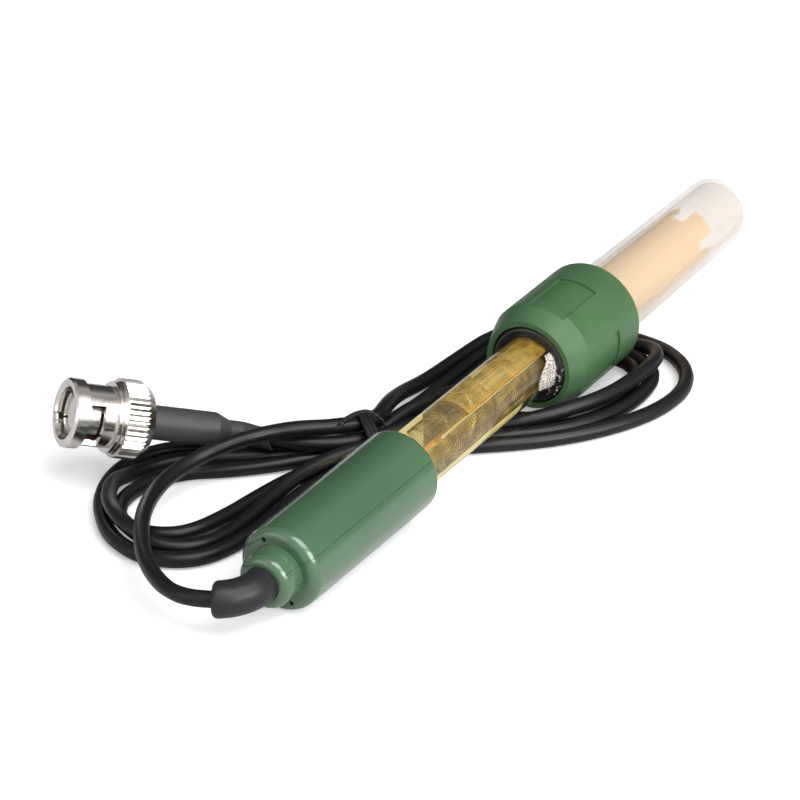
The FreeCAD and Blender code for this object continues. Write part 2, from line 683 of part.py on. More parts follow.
# Open spring clip that keeps the coupling ring on the plug body
clip = plain_tube("retaining_clip", "-dims.clip_front - dims.clip_thickness",
                  "-dims.clip_front", "dims.clip_inner", "dims.clip_outer")
pocketed(clip, "clip_opening", [
    ("-dims.clip_gap / 2", "0"),
    ("dims.clip_gap / 2", "0"),
    ("dims.clip_gap / 2", "dims.clip_outer + dims.cut_over"),
    ("-dims.clip_gap / 2", "dims.clip_outer + dims.cut_over"),
], "-dims.clip_front", "dims.clip_thickness", towards_tip=False)
keep(clip, "retaining_clip", PLUG_PLACE)

ferrule = plain_tube("crimp_ferrule", "-dims.stub_end", "-dims.ferrule_start",
                     "dims.stub_radius + dims.inner_clearance", "dims.ferrule_radius")
keep(ferrule, "crimp_ferrule", PLUG_PLACE)
plug_boot = turned("plug_boot", [
    ("-dims.plug_boot_start", "dims.ferrule_radius + dims.inner_clearance"),
    ("-dims.plug_boot_start", "dims.plug_boot_radius"),
    ("-dims.plug_boot_shoulder", "dims.plug_boot_radius"),
    ("-dims.plug_boot_end", "dims.sleeve_radius"),
    ("-dims.plug_boot_end", "0"),
    ("-dims.stub_end - dims.socket_clearance", "0"),
    ("-dims.stub_end - dims.socket_clearance", "dims.ferrule_radius + dims.inner_clearance"),
])
keep(plug_boot, "plug_boot", PLUG_PLACE)


# A cord's arcs reach this share of the shorter run beside them
ARC_SHARE = 0.45
LEAST_TURN = math.radians(0.5)
VOLUME_TOLERANCE = 0.01


def rounded_route(points):
    """Wire of straight runs through the points, joined by arcs tangent to both runs."""
    count = len(points)
    runs = [(points[i + 1] - points[i]).Length for i in range(count - 1)]
    edges = []
    radii = []
    start = points[0]
    for i in range(1, count - 1):
        corner = points[i]
        arriving = (points[i] - points[i - 1]).normalize()
        leaving = (points[i + 1] - points[i]).normalize()
        turn = arriving.getAngle(leaving)
        if turn < LEAST_TURN:
            raise ValueError(f"route is straight at point {i}: {points[i]}")
        trim = ARC_SHARE * min(runs[i - 1], runs[i])
        radius = trim / math.tan(turn / 2)
        radii.append(radius)
        enter = corner - arriving * trim
        leave = corner + leaving * trim
        towards_centre = (leaving - arriving).normalize()
        centre = corner + towards_centre * (radius / math.cos(turn / 2))
        middle = centre - towards_centre * radius
        edges.append(Part.LineSegment(start, enter).toShape())
        edges.append(Part.Arc(enter, middle, leave).toShape())
        start = leave
    edges.append(Part.LineSegment(start, points[-1]).toShape())
    return Part.Wire(edges), radii, runs


def swept_rod(points, radius, name):
    """Solid round rod along a rounded route; its volume is held against section by length."""
    route, radii, runs = rounded_route(points)
    facing = points[1] - points[0]
    section = Part.Wire([Part.Circle(points[0], facing, radius).toShape()])
    rod = route.makePipeShell([section], True, False)
    expected = math.pi * radius ** 2 * route.Length
    if abs(rod.Volume - expected) > VOLUME_TOLERANCE * expected:
        raise ValueError(f"{name} has volume {rod.Volume:.1f}, not {expected:.1f}")
    print(f"{name}: length {route.Length:.1f}, runs {min(runs):.1f} to {max(runs):.1f}, "
          f"radii {' '.join(format(value, '.1f') for value in radii)}")
    return rod


# Strain relief on the handle, bent towards the coil
boot_profile_station = size("-dims.handle_length - dims.collar_length + dims.boot_insert")
boot = doc.addObject("PartDesign::Body", "cable_boot_body")
boot_section = boot.newObject("Sketcher::SketchObject", "boot_section")
boot_section.AttachmentSupport = [(origin_plane(boot, "YZ_Plane"), "")]
boot_section.MapMode = "FlatFace"
boot_section.setExpression("AttachmentOffset.Base.z",
                           "-dims.handle_length - dims.collar_length + dims.boot_insert")
boot_section.addGeometry(Part.Circle(FreeCAD.Vector(), FreeCAD.Vector(0, 0, 1),
                                     size("dims.boot_radius")), False)
boot_section.addConstraint(Sketcher.Constraint("Coincident", 0, 3, -1, 1))
held = boot_section.addConstraint(Sketcher.Constraint("Radius", 0, size("dims.boot_radius")))
boot_section.setExpression(f"Constraints[{held}]", "dims.boot_radius")
bend_start = size("-dims.handle_length - dims.collar_length - dims.boot_straight")
bend_radius = size("dims.boot_bend_radius")
bend_angle = math.radians(size("dims.boot_bend_angle"))
boot_spine = boot.newObject("Sketcher::SketchObject", "boot_spine")
boot_spine.AttachmentSupport = [(origin_plane(boot, "XY_Plane"), "")]
boot_spine.MapMode = "FlatFace"


def on_bend(angle):
    """Point of the boot's bend, in the electrode frame."""
    return FreeCAD.Vector(bend_start - bend_radius * math.sin(angle),
                          bend_radius * (1 - math.cos(angle)), 0)


boot_spine.addGeometry(Part.LineSegment(FreeCAD.Vector(boot_profile_station, 0, 0),
                                        FreeCAD.Vector(bend_start, 0, 0)), False)
boot_spine.addGeometry(Part.Arc(on_bend(0), on_bend(bend_angle / 2), on_bend(bend_angle)), False)
boot_pipe = boot.newObject("PartDesign::AdditivePipe", "boot_pipe")
boot_pipe.Profile = boot_section
boot_pipe.Spine = boot_spine
doc.recompute()
far_edge = max(range(len(boot_pipe.Shape.Edges)),
               key=lambda number: boot_pipe.Shape.Edges[number].CenterOfMass.y)
boot_round = boot.newObject("PartDesign::Fillet", "boot_end_round")
boot_round.Base = (boot_pipe, [f"Edge{far_edge + 1}"])
boot_round.setExpression("Radius", "dims.boot_end_round")
doc.recompute()
keep(boot, "cable_boot", ELECTRODE_PLACE)
doc.recompute()

# Route of the cable: out of the handle's boot, four turns squeezed by the tie, and to the plug.
# The points are chosen by hand and measured from the foot of the handle's front face. The
# turns at the right pass under the body tube and under the bottle, one cable deep.
coil_origin = FreeCAD.Vector(size("dims.centre_shift"), 0, 0)
boot_heading = FreeCAD.Vector(-math.cos(bend_angle), math.sin(bend_angle), 0)
cable_lead = size("dims.cable_lead")
cable_start = [handle.Placement.multVec(on_bend(bend_angle)),
               handle.Placement.multVec(on_bend(bend_angle) + boot_heading * cable_lead)]
CABLE_POINTS = [
    (-57.6, 13.2, 7.4), (-53.9, 19.4, 7.1), (-47.1, 26.6, 6.9),
    (-35.5, 34.7, 6.9), (-22.6, 39.4, 6.3), (-12.0, 38.7, 6.9), (-5.8, 33.9, 9.0),
    (-1.6, 30.0, 9.9), (5.2, 26.6, 9.2), (11.4, 21.8, 8.0), (18.8, 16.7, 7.6),
    (27.6, 19.4, 6.8), (37.5, 22.3, 4.2), (48.0, 23.2, 1.9), (61.0, 23.0, 1.6),
    (74.2, 22.4, 1.6), (83.3, 17.7, 1.6), (88.5, 8.8, 1.6),
    (88.7, -9.3, 1.6), (83.2, -18.3, 1.6), (74.1, -23.5, 1.6), (62.5, -23.6, 1.6),
    (51.0, -19.4, 1.6), (41.0, -12.6, 1.6), (33.8, -5.2, 1.6), (25.7, 4.8, 1.7),
    (17.2, 9.4, 2.2), (7.5, 16.2, 2.2), (-4.5, 19.4, 1.6), (-16.0, 18.2, 1.6),
    (-27.5, 18.4, 1.6), (-37.0, 21.4, 1.6), (-41.2, 29.6, 1.6), (-38.6, 39.0, 1.6),
    (-32.0, 46.4, 1.6), (-23.5, 52.3, 1.6), (-13.0, 55.0, 1.6), (-3.6, 52.6, 1.6),
    (1.6, 45.6, 1.6), (5.2, 37.7, 1.6), (10.6, 31.2, 1.7), (16.5, 25.8, 2.2),
    (24.0, 21.0, 2.1), (34.0, 19.4, 1.6), (46.0, 19.2, 1.6), (60.0, 19.6, 1.6),
    (73.3, 19.1, 1.6), (80.9, 15.3, 1.6), (85.2, 7.4, 1.6),
    (85.3, -5.6, 2.0), (81.8, -12.2, 4.3), (76.1, -15.4, 4.8), (66.0, -15.6, 4.9),
    (56.5, -14.4, 4.9), (48.6, -10.9, 4.6), (41.8, -5.0, 3.3), (34.3, 5.2, 1.6),
    (28.6, 10.2, 1.7), (19.0, 12.2, 2.2), (9.3, 18.8, 2.2), (0.5, 23.6, 1.6),
    (-10.0, 25.2, 1.6), (-20.0, 26.2, 1.6), (-29.4, 28.6, 1.6), (-33.6, 35.0, 1.6),
    (-31.9, 42.4, 1.6), (-25.2, 47.0, 1.6), (-16.5, 47.0, 1.6), (-9.0, 43.2, 1.6),
    (-4.4, 36.9, 1.6), (1.0, 31.2, 1.6), (6.6, 26.0, 1.8), (12.8, 20.3, 2.2),
    (20.0, 15.6, 2.2), (29.0, 14.4, 1.7), (38.0, 15.4, 1.6), (49.0, 16.0, 1.6),
    (61.0, 16.3, 1.6), (72.4, 15.9, 1.6), (78.5, 12.9, 1.6), (82.0, 6.6, 1.6),
    (82.0, -6.5, 1.6), (78.5, -13.0, 1.6), (72.3, -16.5, 1.6), (62.0, -17.2, 1.6),
    (53.0, -15.4, 1.6), (44.5, -11.0, 1.6), (37.9, -5.0, 1.6), (30.0, 4.8, 1.8),
    (25.2, 8.6, 4.4), (18.3, 10.9, 5.0), (8.4, 17.5, 5.0), (-2.5, 21.6, 3.8),
    (-13.0, 22.1, 2.2), (-24.5, 21.8, 1.6), (-33.2, 24.0, 1.7), (-37.6, 30.6, 2.4),
    (-36.4, 38.2, 4.6), (-31.4, 45.2, 4.9), (-23.9, 49.7, 4.6), (-14.8, 51.2, 1.7),
    (-5.8, 48.0, 1.6), (-1.2, 41.8, 1.6), (3.0, 34.9, 1.6), (8.2, 28.9, 1.8),
    (14.6, 23.0, 2.2), (21.5, 18.6, 2.6), (30.0, 16.8, 4.7), (39.0, 14.4, 4.8),
    (48.0, 12.8, 3.0), (60.0, 12.5, 1.6), (70.6, 12.9, 1.6), (76.2, 10.7, 1.6),
    (78.9, 5.6, 1.6), (78.9, -5.5, 1.6), (76.2, -10.7, 1.6), (70.4, -13.2, 1.6),
    (60.5, -13.4, 1.6), (51.5, -10.8, 1.6), (45.6, -4.8, 1.6), (39.2, 4.0, 2.7),
    (34.9, 8.1, 4.6), (28.5, 11.4, 4.9), (20.5, 13.6, 4.9), (10.2, 20.2, 5.1),
]
# The thin sleeve leaves the plug's boot and bends to meet the cable
SLEEVE_POINTS = [(4.5, 34.8, 5.4), (5.0, 31.6, 5.45)]


def from_handle_foot(spots):
    """Vectors in the part frame for places measured from the handle's front foot."""
    return [FreeCAD.Vector(*spot) + coil_origin for spot in spots]


def on_plug_axis(station):
    """Point on the plug's axis, in the part frame."""
    return plug_boot.Placement.multVec(FreeCAD.Vector(station, 0, 0))


sleeve_points = [on_plug_axis(-size("dims.plug_boot_end")),
                 on_plug_axis(-size("dims.plug_boot_end + dims.sleeve_lead"))]
sleeve_points += from_handle_foot(SLEEVE_POINTS)
sleeve_heading = (sleeve_points[-1] - sleeve_points[-2]).normalize()
sleeve = doc.addObject("Part::Feature", "plug_sleeve_shape")
sleeve.Shape = swept_rod(sleeve_points, size("dims.sleeve_radius"), "plug_sleeve")
keep(sleeve, "plug_sleeve")

tube_radius = size("dims.cable_radius")
route_points = cable_start + from_handle_foot(CABLE_POINTS)
route_points += [sleeve_points[-1] + sleeve_heading * cable_lead, sleeve_points[-1]]
cable = doc.addObject("Part::Feature", "cable_shape")
cable.Shape = swept_rod(route_points, tube_radius, "cable")
keep(cable, "cable")

# Wire tie: a belt round the eight strands, drawn tight over the outermost ones
TIE_CENTRE = FreeCAD.Vector(14.3, 17.3, 0)
TIE_HEADING = -34.8
TIE_STRANDS = [(-4.82, 2.2), (8.37, 2.16), (2.1, 7.76), (-3.12, 5.0)]
corners = [FreeCAD.Vector(across, height, 0) for across, height in TIE_STRANDS]
strand_hull = Part.makePolygon(corners + corners[:1])
belt_fit = tube_radius + size("dims.tie_clearance")
belt_inner = strand_hull.makeOffset2D(belt_fit)
belt_outer = strand_hull.makeOffset2D(belt_fit + size("dims.tie_thickness"))
belt_face = Part.Face(belt_outer).cut(Part.Face(belt_inner))
belt = belt_face.extrude(FreeCAD.Vector(0, 0, size("dims.tie_width")))
belt.translate(FreeCAD.Vector(0, 0, -size("dims.tie_width") / 2))
tie = doc.addObject("Part::Feature", "cable_tie_shape")
tie.Shape = belt
upright = FreeCAD.Rotation(FreeCAD.Vector(0, 0, 1), TIE_HEADING + 90)
upright = upright * FreeCAD.Rotation(FreeCAD.Vector(1, 0, 0), 90)
tie.Placement = FreeCAD.Placement(TIE_CENTRE + coil_origin, upright)
keep(tie, "cable_tie")

doc.recompute()
os.makedirs("parts", exist_ok=True)
for thing in doc.Objects:
    if "Invalid" in thing.State or "Error" in thing.State:
        raise ValueError(f"{thing.Name} failed: {thing.State}")
for piece in sub_parts:
    shape = piece.Shape
    if shape.isNull() or not shape.isValid():
        raise ValueError(f"{piece.Label} has no valid shape")
    print(f"{piece.Label}: {len(shape.Solids)} solid, {shape.Volume:.1f} mm3")
    shape.exportStep(os.path.join("parts", piece.Label + ".step"))
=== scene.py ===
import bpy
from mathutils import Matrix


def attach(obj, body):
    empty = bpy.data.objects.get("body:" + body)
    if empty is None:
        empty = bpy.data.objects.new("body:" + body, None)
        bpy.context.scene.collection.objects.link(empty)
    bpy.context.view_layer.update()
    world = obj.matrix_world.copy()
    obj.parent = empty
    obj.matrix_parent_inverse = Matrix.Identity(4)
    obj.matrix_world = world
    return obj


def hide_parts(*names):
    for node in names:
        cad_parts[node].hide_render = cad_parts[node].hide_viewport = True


bl_info = {
    "name": "Redox electrode with storage bottle",
    "version": (1, 0, 0),
    "blender": (4, 5, 0),
    "location": "View3D > Sidebar > Electrode",
    "description": "Dresses a redox electrode with its cable, bayonet plug and storage bottle",
    "category": "Object",
}

import bpy
import math
from mathutils import Matrix, Vector

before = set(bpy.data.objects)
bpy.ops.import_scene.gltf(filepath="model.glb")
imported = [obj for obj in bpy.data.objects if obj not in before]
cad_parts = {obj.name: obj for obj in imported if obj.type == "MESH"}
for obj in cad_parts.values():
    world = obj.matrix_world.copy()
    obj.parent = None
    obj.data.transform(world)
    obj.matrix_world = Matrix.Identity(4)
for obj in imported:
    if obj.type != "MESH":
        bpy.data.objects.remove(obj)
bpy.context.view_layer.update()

MM = 0.001
ROW_SHIFT = -43.5117 * MM
AXIS_HEIGHT = 9.4016 * MM
TILT = math.radians(1.60787)
# Two local frames: X along the electrode from the handle's front face, and X out of the plug
ELECTRODE = Matrix.Translation((ROW_SHIFT, 0, AXIS_HEIGHT)) @ Matrix.Rotation(-TILT, 4, "Y")
PLUG_FRONT = (-23.48 * MM + ROW_SHIFT, 60.16 * MM, 16.4 * MM)
PLUG_TURN = math.radians(142.0)
PLUG_DIP = math.radians(-17.0)
PLUG_ROLL = math.radians(-54.6)
PLUG = (Matrix.Translation(PLUG_FRONT)
        @ Matrix.Rotation(PLUG_TURN, 4, "Z")
        @ Matrix.Rotation(PLUG_DIP, 4, "Y")
        @ Matrix.Rotation(PLUG_ROLL, 4, "X"))
# Lays a piece that is modelled about Z along a frame's X
LAY_DOWN = Matrix.Rotation(math.pi / 2, 4, "Y")

# Stations along the electrode, in metres, and angles about it, in degrees from the top
GASKET_FACE = 0.0498
FILM_START = 0.0190
FILM_END = 0.0655
WET_START = 0.054
WET_END = 0.064
FILM_EDGES = (-37.0, 43.0)
PARTING_LINES = (60.0, -120.0)
CRUST_TURN = -66.0
# Where the salt specks are on the gasket, in radians
GASKET_SPECKS = 1.95

# Control points of the cable, in metres from the foot of the handle's front face
CABLE_ROUTE = [
    (-0.0567, 0.004792, 0.007810), (-0.058221, 0.008055, 0.007767), (-0.0576, 0.0132, 0.0074),
    (-0.0539, 0.0194, 0.0071), (-0.0471, 0.0266, 0.0069), (-0.0355, 0.0347, 0.0069),
    (-0.0226, 0.0394, 0.0063), (-0.0120, 0.0387, 0.0069), (-0.0058, 0.0339, 0.0090),
    (-0.0016, 0.0300, 0.0099), (0.0052, 0.0266, 0.0092), (0.0114, 0.0218, 0.0080),
    (0.0188, 0.0167, 0.0076), (0.0276, 0.0194, 0.0068), (0.0375, 0.0223, 0.0042),
    (0.0480, 0.0232, 0.0019), (0.0610, 0.0230, 0.0016), (0.0742, 0.0224, 0.0016),
    (0.0833, 0.0177, 0.0016), (0.0885, 0.0088, 0.0016), (0.0887, -0.0093, 0.0016),
    (0.0832, -0.0183, 0.0016), (0.0741, -0.0235, 0.0016), (0.0625, -0.0236, 0.0016),
    (0.0510, -0.0194, 0.0016), (0.0410, -0.0126, 0.0016), (0.0338, -0.0052, 0.0016),
    (0.0257, 0.0048, 0.0017), (0.0172, 0.0094, 0.0022), (0.0075, 0.0162, 0.0022),
    (-0.0045, 0.0194, 0.0016), (-0.0160, 0.0182, 0.0016), (-0.0275, 0.0184, 0.0016),
    (-0.0370, 0.0214, 0.0016), (-0.0412, 0.0296, 0.0016), (-0.0386, 0.0390, 0.0016),
    (-0.0320, 0.0464, 0.0016), (-0.0235, 0.0523, 0.0016), (-0.0130, 0.0550, 0.0016),
    (-0.0036, 0.0526, 0.0016), (0.0016, 0.0456, 0.0016), (0.0052, 0.0377, 0.0016),
    (0.0106, 0.0312, 0.0017), (0.0165, 0.0258, 0.0022), (0.0240, 0.0210, 0.0021),
    (0.0340, 0.0194, 0.0016), (0.0460, 0.0192, 0.0016), (0.0600, 0.0196, 0.0016),
    (0.0733, 0.0191, 0.0016), (0.0809, 0.0153, 0.0016), (0.0852, 0.0074, 0.0016),
    (0.0853, -0.0056, 0.0020), (0.0818, -0.0122, 0.0043), (0.0761, -0.0154, 0.0048),
    (0.0660, -0.0156, 0.0049), (0.0565, -0.0144, 0.0049), (0.0486, -0.0109, 0.0046),
    (0.0418, -0.0050, 0.0033), (0.0343, 0.0052, 0.0016), (0.0286, 0.0102, 0.0017),
    (0.0190, 0.0122, 0.0022), (0.0093, 0.0188, 0.0022), (0.0005, 0.0236, 0.0016),
    (-0.0100, 0.0252, 0.0016), (-0.0200, 0.0262, 0.0016), (-0.0294, 0.0286, 0.0016),
    (-0.0336, 0.0350, 0.0016), (-0.0319, 0.0424, 0.0016), (-0.0252, 0.0470, 0.0016),
    (-0.0165, 0.0470, 0.0016), (-0.0090, 0.0432, 0.0016), (-0.0044, 0.0369, 0.0016),
    (0.0010, 0.0312, 0.0016), (0.0066, 0.0260, 0.0018), (0.0128, 0.0203, 0.0022),
    (0.0200, 0.0156, 0.0022), (0.0290, 0.0144, 0.0017), (0.0380, 0.0154, 0.0016),
    (0.0490, 0.0160, 0.0016), (0.0610, 0.0163, 0.0016), (0.0724, 0.0159, 0.0016),
    (0.0785, 0.0129, 0.0016), (0.0820, 0.0066, 0.0016), (0.0820, -0.0065, 0.0016),
    (0.0785, -0.0130, 0.0016), (0.0723, -0.0165, 0.0016), (0.0620, -0.0172, 0.0016),
    (0.0530, -0.0154, 0.0016), (0.0445, -0.0110, 0.0016), (0.0379, -0.0050, 0.0016),
    (0.0300, 0.0048, 0.0018), (0.0252, 0.0086, 0.0044), (0.0183, 0.0109, 0.0050),
    (0.0084, 0.0175, 0.0050), (-0.0025, 0.0216, 0.0038), (-0.0130, 0.0221, 0.0022),
    (-0.0245, 0.0218, 0.0016), (-0.0332, 0.0240, 0.0017), (-0.0376, 0.0306, 0.0024),
    (-0.0364, 0.0382, 0.0046), (-0.0314, 0.0452, 0.0049), (-0.0239, 0.0497, 0.0046),
    (-0.0148, 0.0512, 0.0017), (-0.0058, 0.0480, 0.0016), (-0.0012, 0.0418, 0.0016),
    (0.0030, 0.0349, 0.0016), (0.0082, 0.0289, 0.0018), (0.0146, 0.0230, 0.0022),
    (0.0215, 0.0186, 0.0026), (0.0300, 0.0168, 0.0047), (0.0390, 0.0144, 0.0048),
    (0.0480, 0.0128, 0.0030), (0.0600, 0.0125, 0.0016), (0.0706, 0.0129, 0.0016),
    (0.0762, 0.0107, 0.0016), (0.0789, 0.0056, 0.0016), (0.0789, -0.0055, 0.0016),
    (0.0762, -0.0107, 0.0016), (0.0704, -0.0132, 0.0016), (0.0605, -0.0134, 0.0016),
    (0.0515, -0.0108, 0.0016), (0.0456, -0.0048, 0.0016), (0.0392, 0.0040, 0.0027),
    (0.0349, 0.0081, 0.0046), (0.0285, 0.0114, 0.0049), (0.0205, 0.0136, 0.0049),
    (0.0102, 0.0202, 0.0051), (0.005556, 0.028044, 0.005506), (0.0050, 0.0316, 0.005450),
]


def length_value(label, text, value):
    """Property for a size in metres."""
    return bpy.props.FloatProperty(name=label, description=text, default=value, min=0.0,
                                   precision=5, unit="LENGTH", subtype="DISTANCE")


def colour_value(label, text, value):
    """Property for a colour."""
    return bpy.props.FloatVectorProperty(name=label, description=text, default=value, size=3,
                                         min=0.0, max=1.0, subtype="COLOR")


class ElectrodeSizes(bpy.types.PropertyGroup):
    """Sizes of the pieces that are modelled here"""
    cable_diameter: length_value("Cable diameter", "Outer diameter of the jacket", 0.0031)
    wire_diameter: length_value("Winding wire", "Thickness of the reference wire", 0.00021)
    wire_pitch: length_value("Winding pitch", "Distance between two turns", 0.00067)
    winding_radius: length_value("Winding radius", "Radius of the wire's centre", 0.00290)
    thread_height: length_value("Thread height", "Height of the thread on the neck", 0.00040)
    thread_pitch: length_value("Thread pitch", "Rise of the thread in one turn", 0.0026)
    crust_height: length_value("Salt crust", "Thickness of the dried salt", 0.0011)
    tie_wire: length_value("Tie wire", "Thickness of one wire of the tie", 0.00062)
    gel_radius: length_value("Gel radius", "Radius of the gel that fills the body tube", 0.00512)


class ElectrodeColours(bpy.types.PropertyGroup):
    """Colours of the finishes"""
    moulding: colour_value("Moulding", "Green of the handle", (0.054, 0.122, 0.057))
    cap: colour_value("Cap", "Green of the screw cap", (0.056, 0.126, 0.053))
    amber: colour_value("Amber tube", "Deep tint of the clear body tube", (0.97, 0.86, 0.42))
    jacket: colour_value("Jacket", "Black of the cable", (0.007, 0.007, 0.008))
    rubber: colour_value("Rubber", "Black of the boots", (0.017, 0.017, 0.019))
    bottle: colour_value("Bottle", "White of the frosted bottle", (0.70, 0.62, 0.55))
    nickel: colour_value("Nickel", "Tint of the bright plating", (0.80, 0.77, 0.73))
    salt: colour_value("Salt", "Light tone of the dried salt", (0.66, 0.62, 0.58))


def deselect():
    """Leave edit mode, and select nothing."""
    if bpy.context.object and bpy.context.object.mode != "OBJECT":
        bpy.ops.object.mode_set(mode="OBJECT")
    bpy.ops.object.select_all(action="DESELECT")


def apply_modifiers(piece):
    """Apply every modifier, from the top."""
    bpy.context.view_layer.objects.active = piece
    for modifier in list(piece.modifiers):
        bpy.ops.object.modifier_apply(modifier=modifier.name)


def apply_place():
    """Move the selected piece's place, turn and scale into its mesh."""
    bpy.ops.object.transform_apply(location=True, rotation=True, scale=True)


def close_ends():
    """Close the active tube's open ends with a face each."""
    bpy.ops.object.mode_set(mode="EDIT")
    bpy.ops.mesh.select_all(action="DESELECT")
    bpy.ops.mesh.select_mode(type="EDGE")
    bpy.ops.mesh.select_non_manifold()
    bpy.ops.mesh.edge_face_add()
    bpy.ops.object.mode_set(mode="OBJECT")


def settle(piece, place):
    """Put a piece that is modelled in a local frame where it belongs, at the origin."""
    deselect()
    piece.select_set(True)
    bpy.context.view_layer.objects.active = piece
    piece.matrix_world = place @ piece.matrix_world
    apply_place()


def tidy_normals(piece):
    """Merge the seam's doubles, and turn every face outwards."""
    deselect()
    piece.select_set(True)
    bpy.context.view_layer.objects.active = piece
    bpy.ops.object.mode_set(mode="EDIT")
    bpy.ops.mesh.select_all(action="SELECT")
    bpy.ops.mesh.remove_doubles(threshold=1e-7)
    bpy.ops.mesh.normals_make_consistent(inside=False)
    bpy.ops.object.mode_set(mode="OBJECT")


def toned(colour, factor):
    """A darker or lighter tone of a colour."""
    return tuple(value * factor for value in colour)


class Finish:
    """Node tree of one material. A socket that a node chain feeds keeps its plain value below it."""

    def __init__(self, name, colour, roughness, metallic=0.0, **sockets):
        self.material = bpy.data.materials.new(name)
        self.material.use_nodes = True
        self.nodes = self.material.node_tree.nodes
        self.links = self.material.node_tree.links
        self.shader = self.nodes["Principled BSDF"]
        self.shader.inputs["Base Color"].default_value = (*colour, 1.0)
        self.shader.inputs["Roughness"].default_value = roughness
        self.shader.inputs["Metallic"].default_value = metallic
        for socket, value in sockets.items():
            self.shader.inputs[socket.replace("_", " ")].default_value = value
        self.coordinates = self.nodes.new("ShaderNodeTexCoord").outputs["Object"]

    def add(self, kind, **settings):
        """New node with its settings."""
        node = self.nodes.new(kind)
        for key, value in settings.items():
            setattr(node, key, value)
        return node

    def in_frame(self, place):
        """Object coordinates turned into a local frame."""
        mapping = self.add("ShaderNodeMapping", vector_type="TEXTURE")
        mapping.inputs["Location"].default_value = place.to_translation()
        mapping.inputs["Rotation"].default_value = place.to_euler("XYZ")
        self.links.new(self.coordinates, mapping.inputs["Vector"])
        return mapping.outputs["Vector"]

    def noise(self, vector, scale, detail=3.0, stretch=None):
        """Noise over a vector, drawn out along the axes where stretch is small."""
        if stretch:
            mapping = self.add("ShaderNodeMapping")
            mapping.inputs["Scale"].default_value = stretch
            self.links.new(vector, mapping.inputs["Vector"])
            vector = mapping.outputs["Vector"]
        texture = self.add("ShaderNodeTexNoise")
        texture.inputs["Scale"].default_value = scale
        texture.inputs["Detail"].default_value = detail
        self.links.new(vector, texture.inputs["Vector"])
        return texture.outputs["Fac"]

    def math(self, operation, first, second=None):
        """Result of one Math node. Its inputs are numbers or other nodes' outputs."""
        node = self.add("ShaderNodeMath", operation=operation)
        for socket, value in zip(node.inputs, (first, second)):
            if value is None:
                continue
            if isinstance(value, (int, float)):
                socket.default_value = value
            else:
                self.links.new(value, socket)
        return node.outputs[0]

    def remap(self, value, low, high, to_low=0.0, to_high=1.0):
        """Value moved from one range to another, and held inside it."""
        node = self.add("ShaderNodeMapRange")
        for name, number in (("From Min", low), ("From Max", high),
                             ("To Min", to_low), ("To Max", to_high)):
            node.inputs[name].default_value = number
        self.links.new(value, node.inputs["Value"])
        return node.outputs["Result"]

    def colour_mix(self, factor, first, second):
        """Mix of two colours, each given as numbers or as another node's output."""
        node = self.add("ShaderNodeMix", data_type="RGBA")
        self.links.new(factor, node.inputs["Factor"])
        for socket, value in ((node.inputs[6], first), (node.inputs[7], second)):
            if isinstance(value, bpy.types.NodeSocket):
                self.links.new(value, socket)
            else:
                socket.default_value = (*value, 1.0)
        return node.outputs[2]

    def feed(self, name, value):
        """Link a chain's result to one of the shader's sockets."""
        self.links.new(value, self.shader.inputs[name])

    def bump(self, height, distance, strength):
        """Relief by a height, on top of any that is already there."""
        node = self.add("ShaderNodeBump")
        node.inputs["Distance"].default_value = distance
        node.inputs["Strength"].default_value = strength
        self.links.new(height, node.inputs["Height"])
        if self.shader.inputs["Normal"].is_linked:
            earlier = self.shader.inputs["Normal"].links[0].from_socket
            self.links.new(earlier, node.inputs["Normal"])
        self.feed("Normal", node.outputs["Normal"])

    def grain(self, scale, distance, strength, detail=2.0):
        """Fine unevenness that is the same all over the piece."""
        self.bump(self.noise(self.coordinates, scale, detail), distance, strength)

    def lit_through(self, share):
        """Let this share of the lamps' light through, as a clear wall does."""
        shadow = self.add("ShaderNodeLightPath").outputs["Is Shadow Ray"]
        self.feed("Alpha", self.remap(shadow, 0.0, 1.0, 1.0, 1.0 - share))

    def split(self, vector):
        """The three parts of a vector."""
        node = self.add("ShaderNodeSeparateXYZ")
        self.links.new(vector, node.inputs["Vector"])
        return node.outputs

    def around(self, vector):
        """Angle about local X, 0 up and positive towards -Y, in radians."""
        parts = self.split(vector)
        return self.math("ARCTAN2", self.math("MULTIPLY", parts["Y"], -1.0), parts["Z"])

    def line_at(self, angle, degrees, width):
        """1 on a thin line along the body at an angle, and 0 beside it."""
        away = self.math("ABSOLUTE", self.math("SUBTRACT", angle, math.radians(degrees)))
        return self.remap(away, width, width * 0.4)


def dress(node, finish):
    """Give a CAD node its material."""
    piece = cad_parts[node]
    piece.data.materials.clear()
    piece.data.materials.append(finish.material)


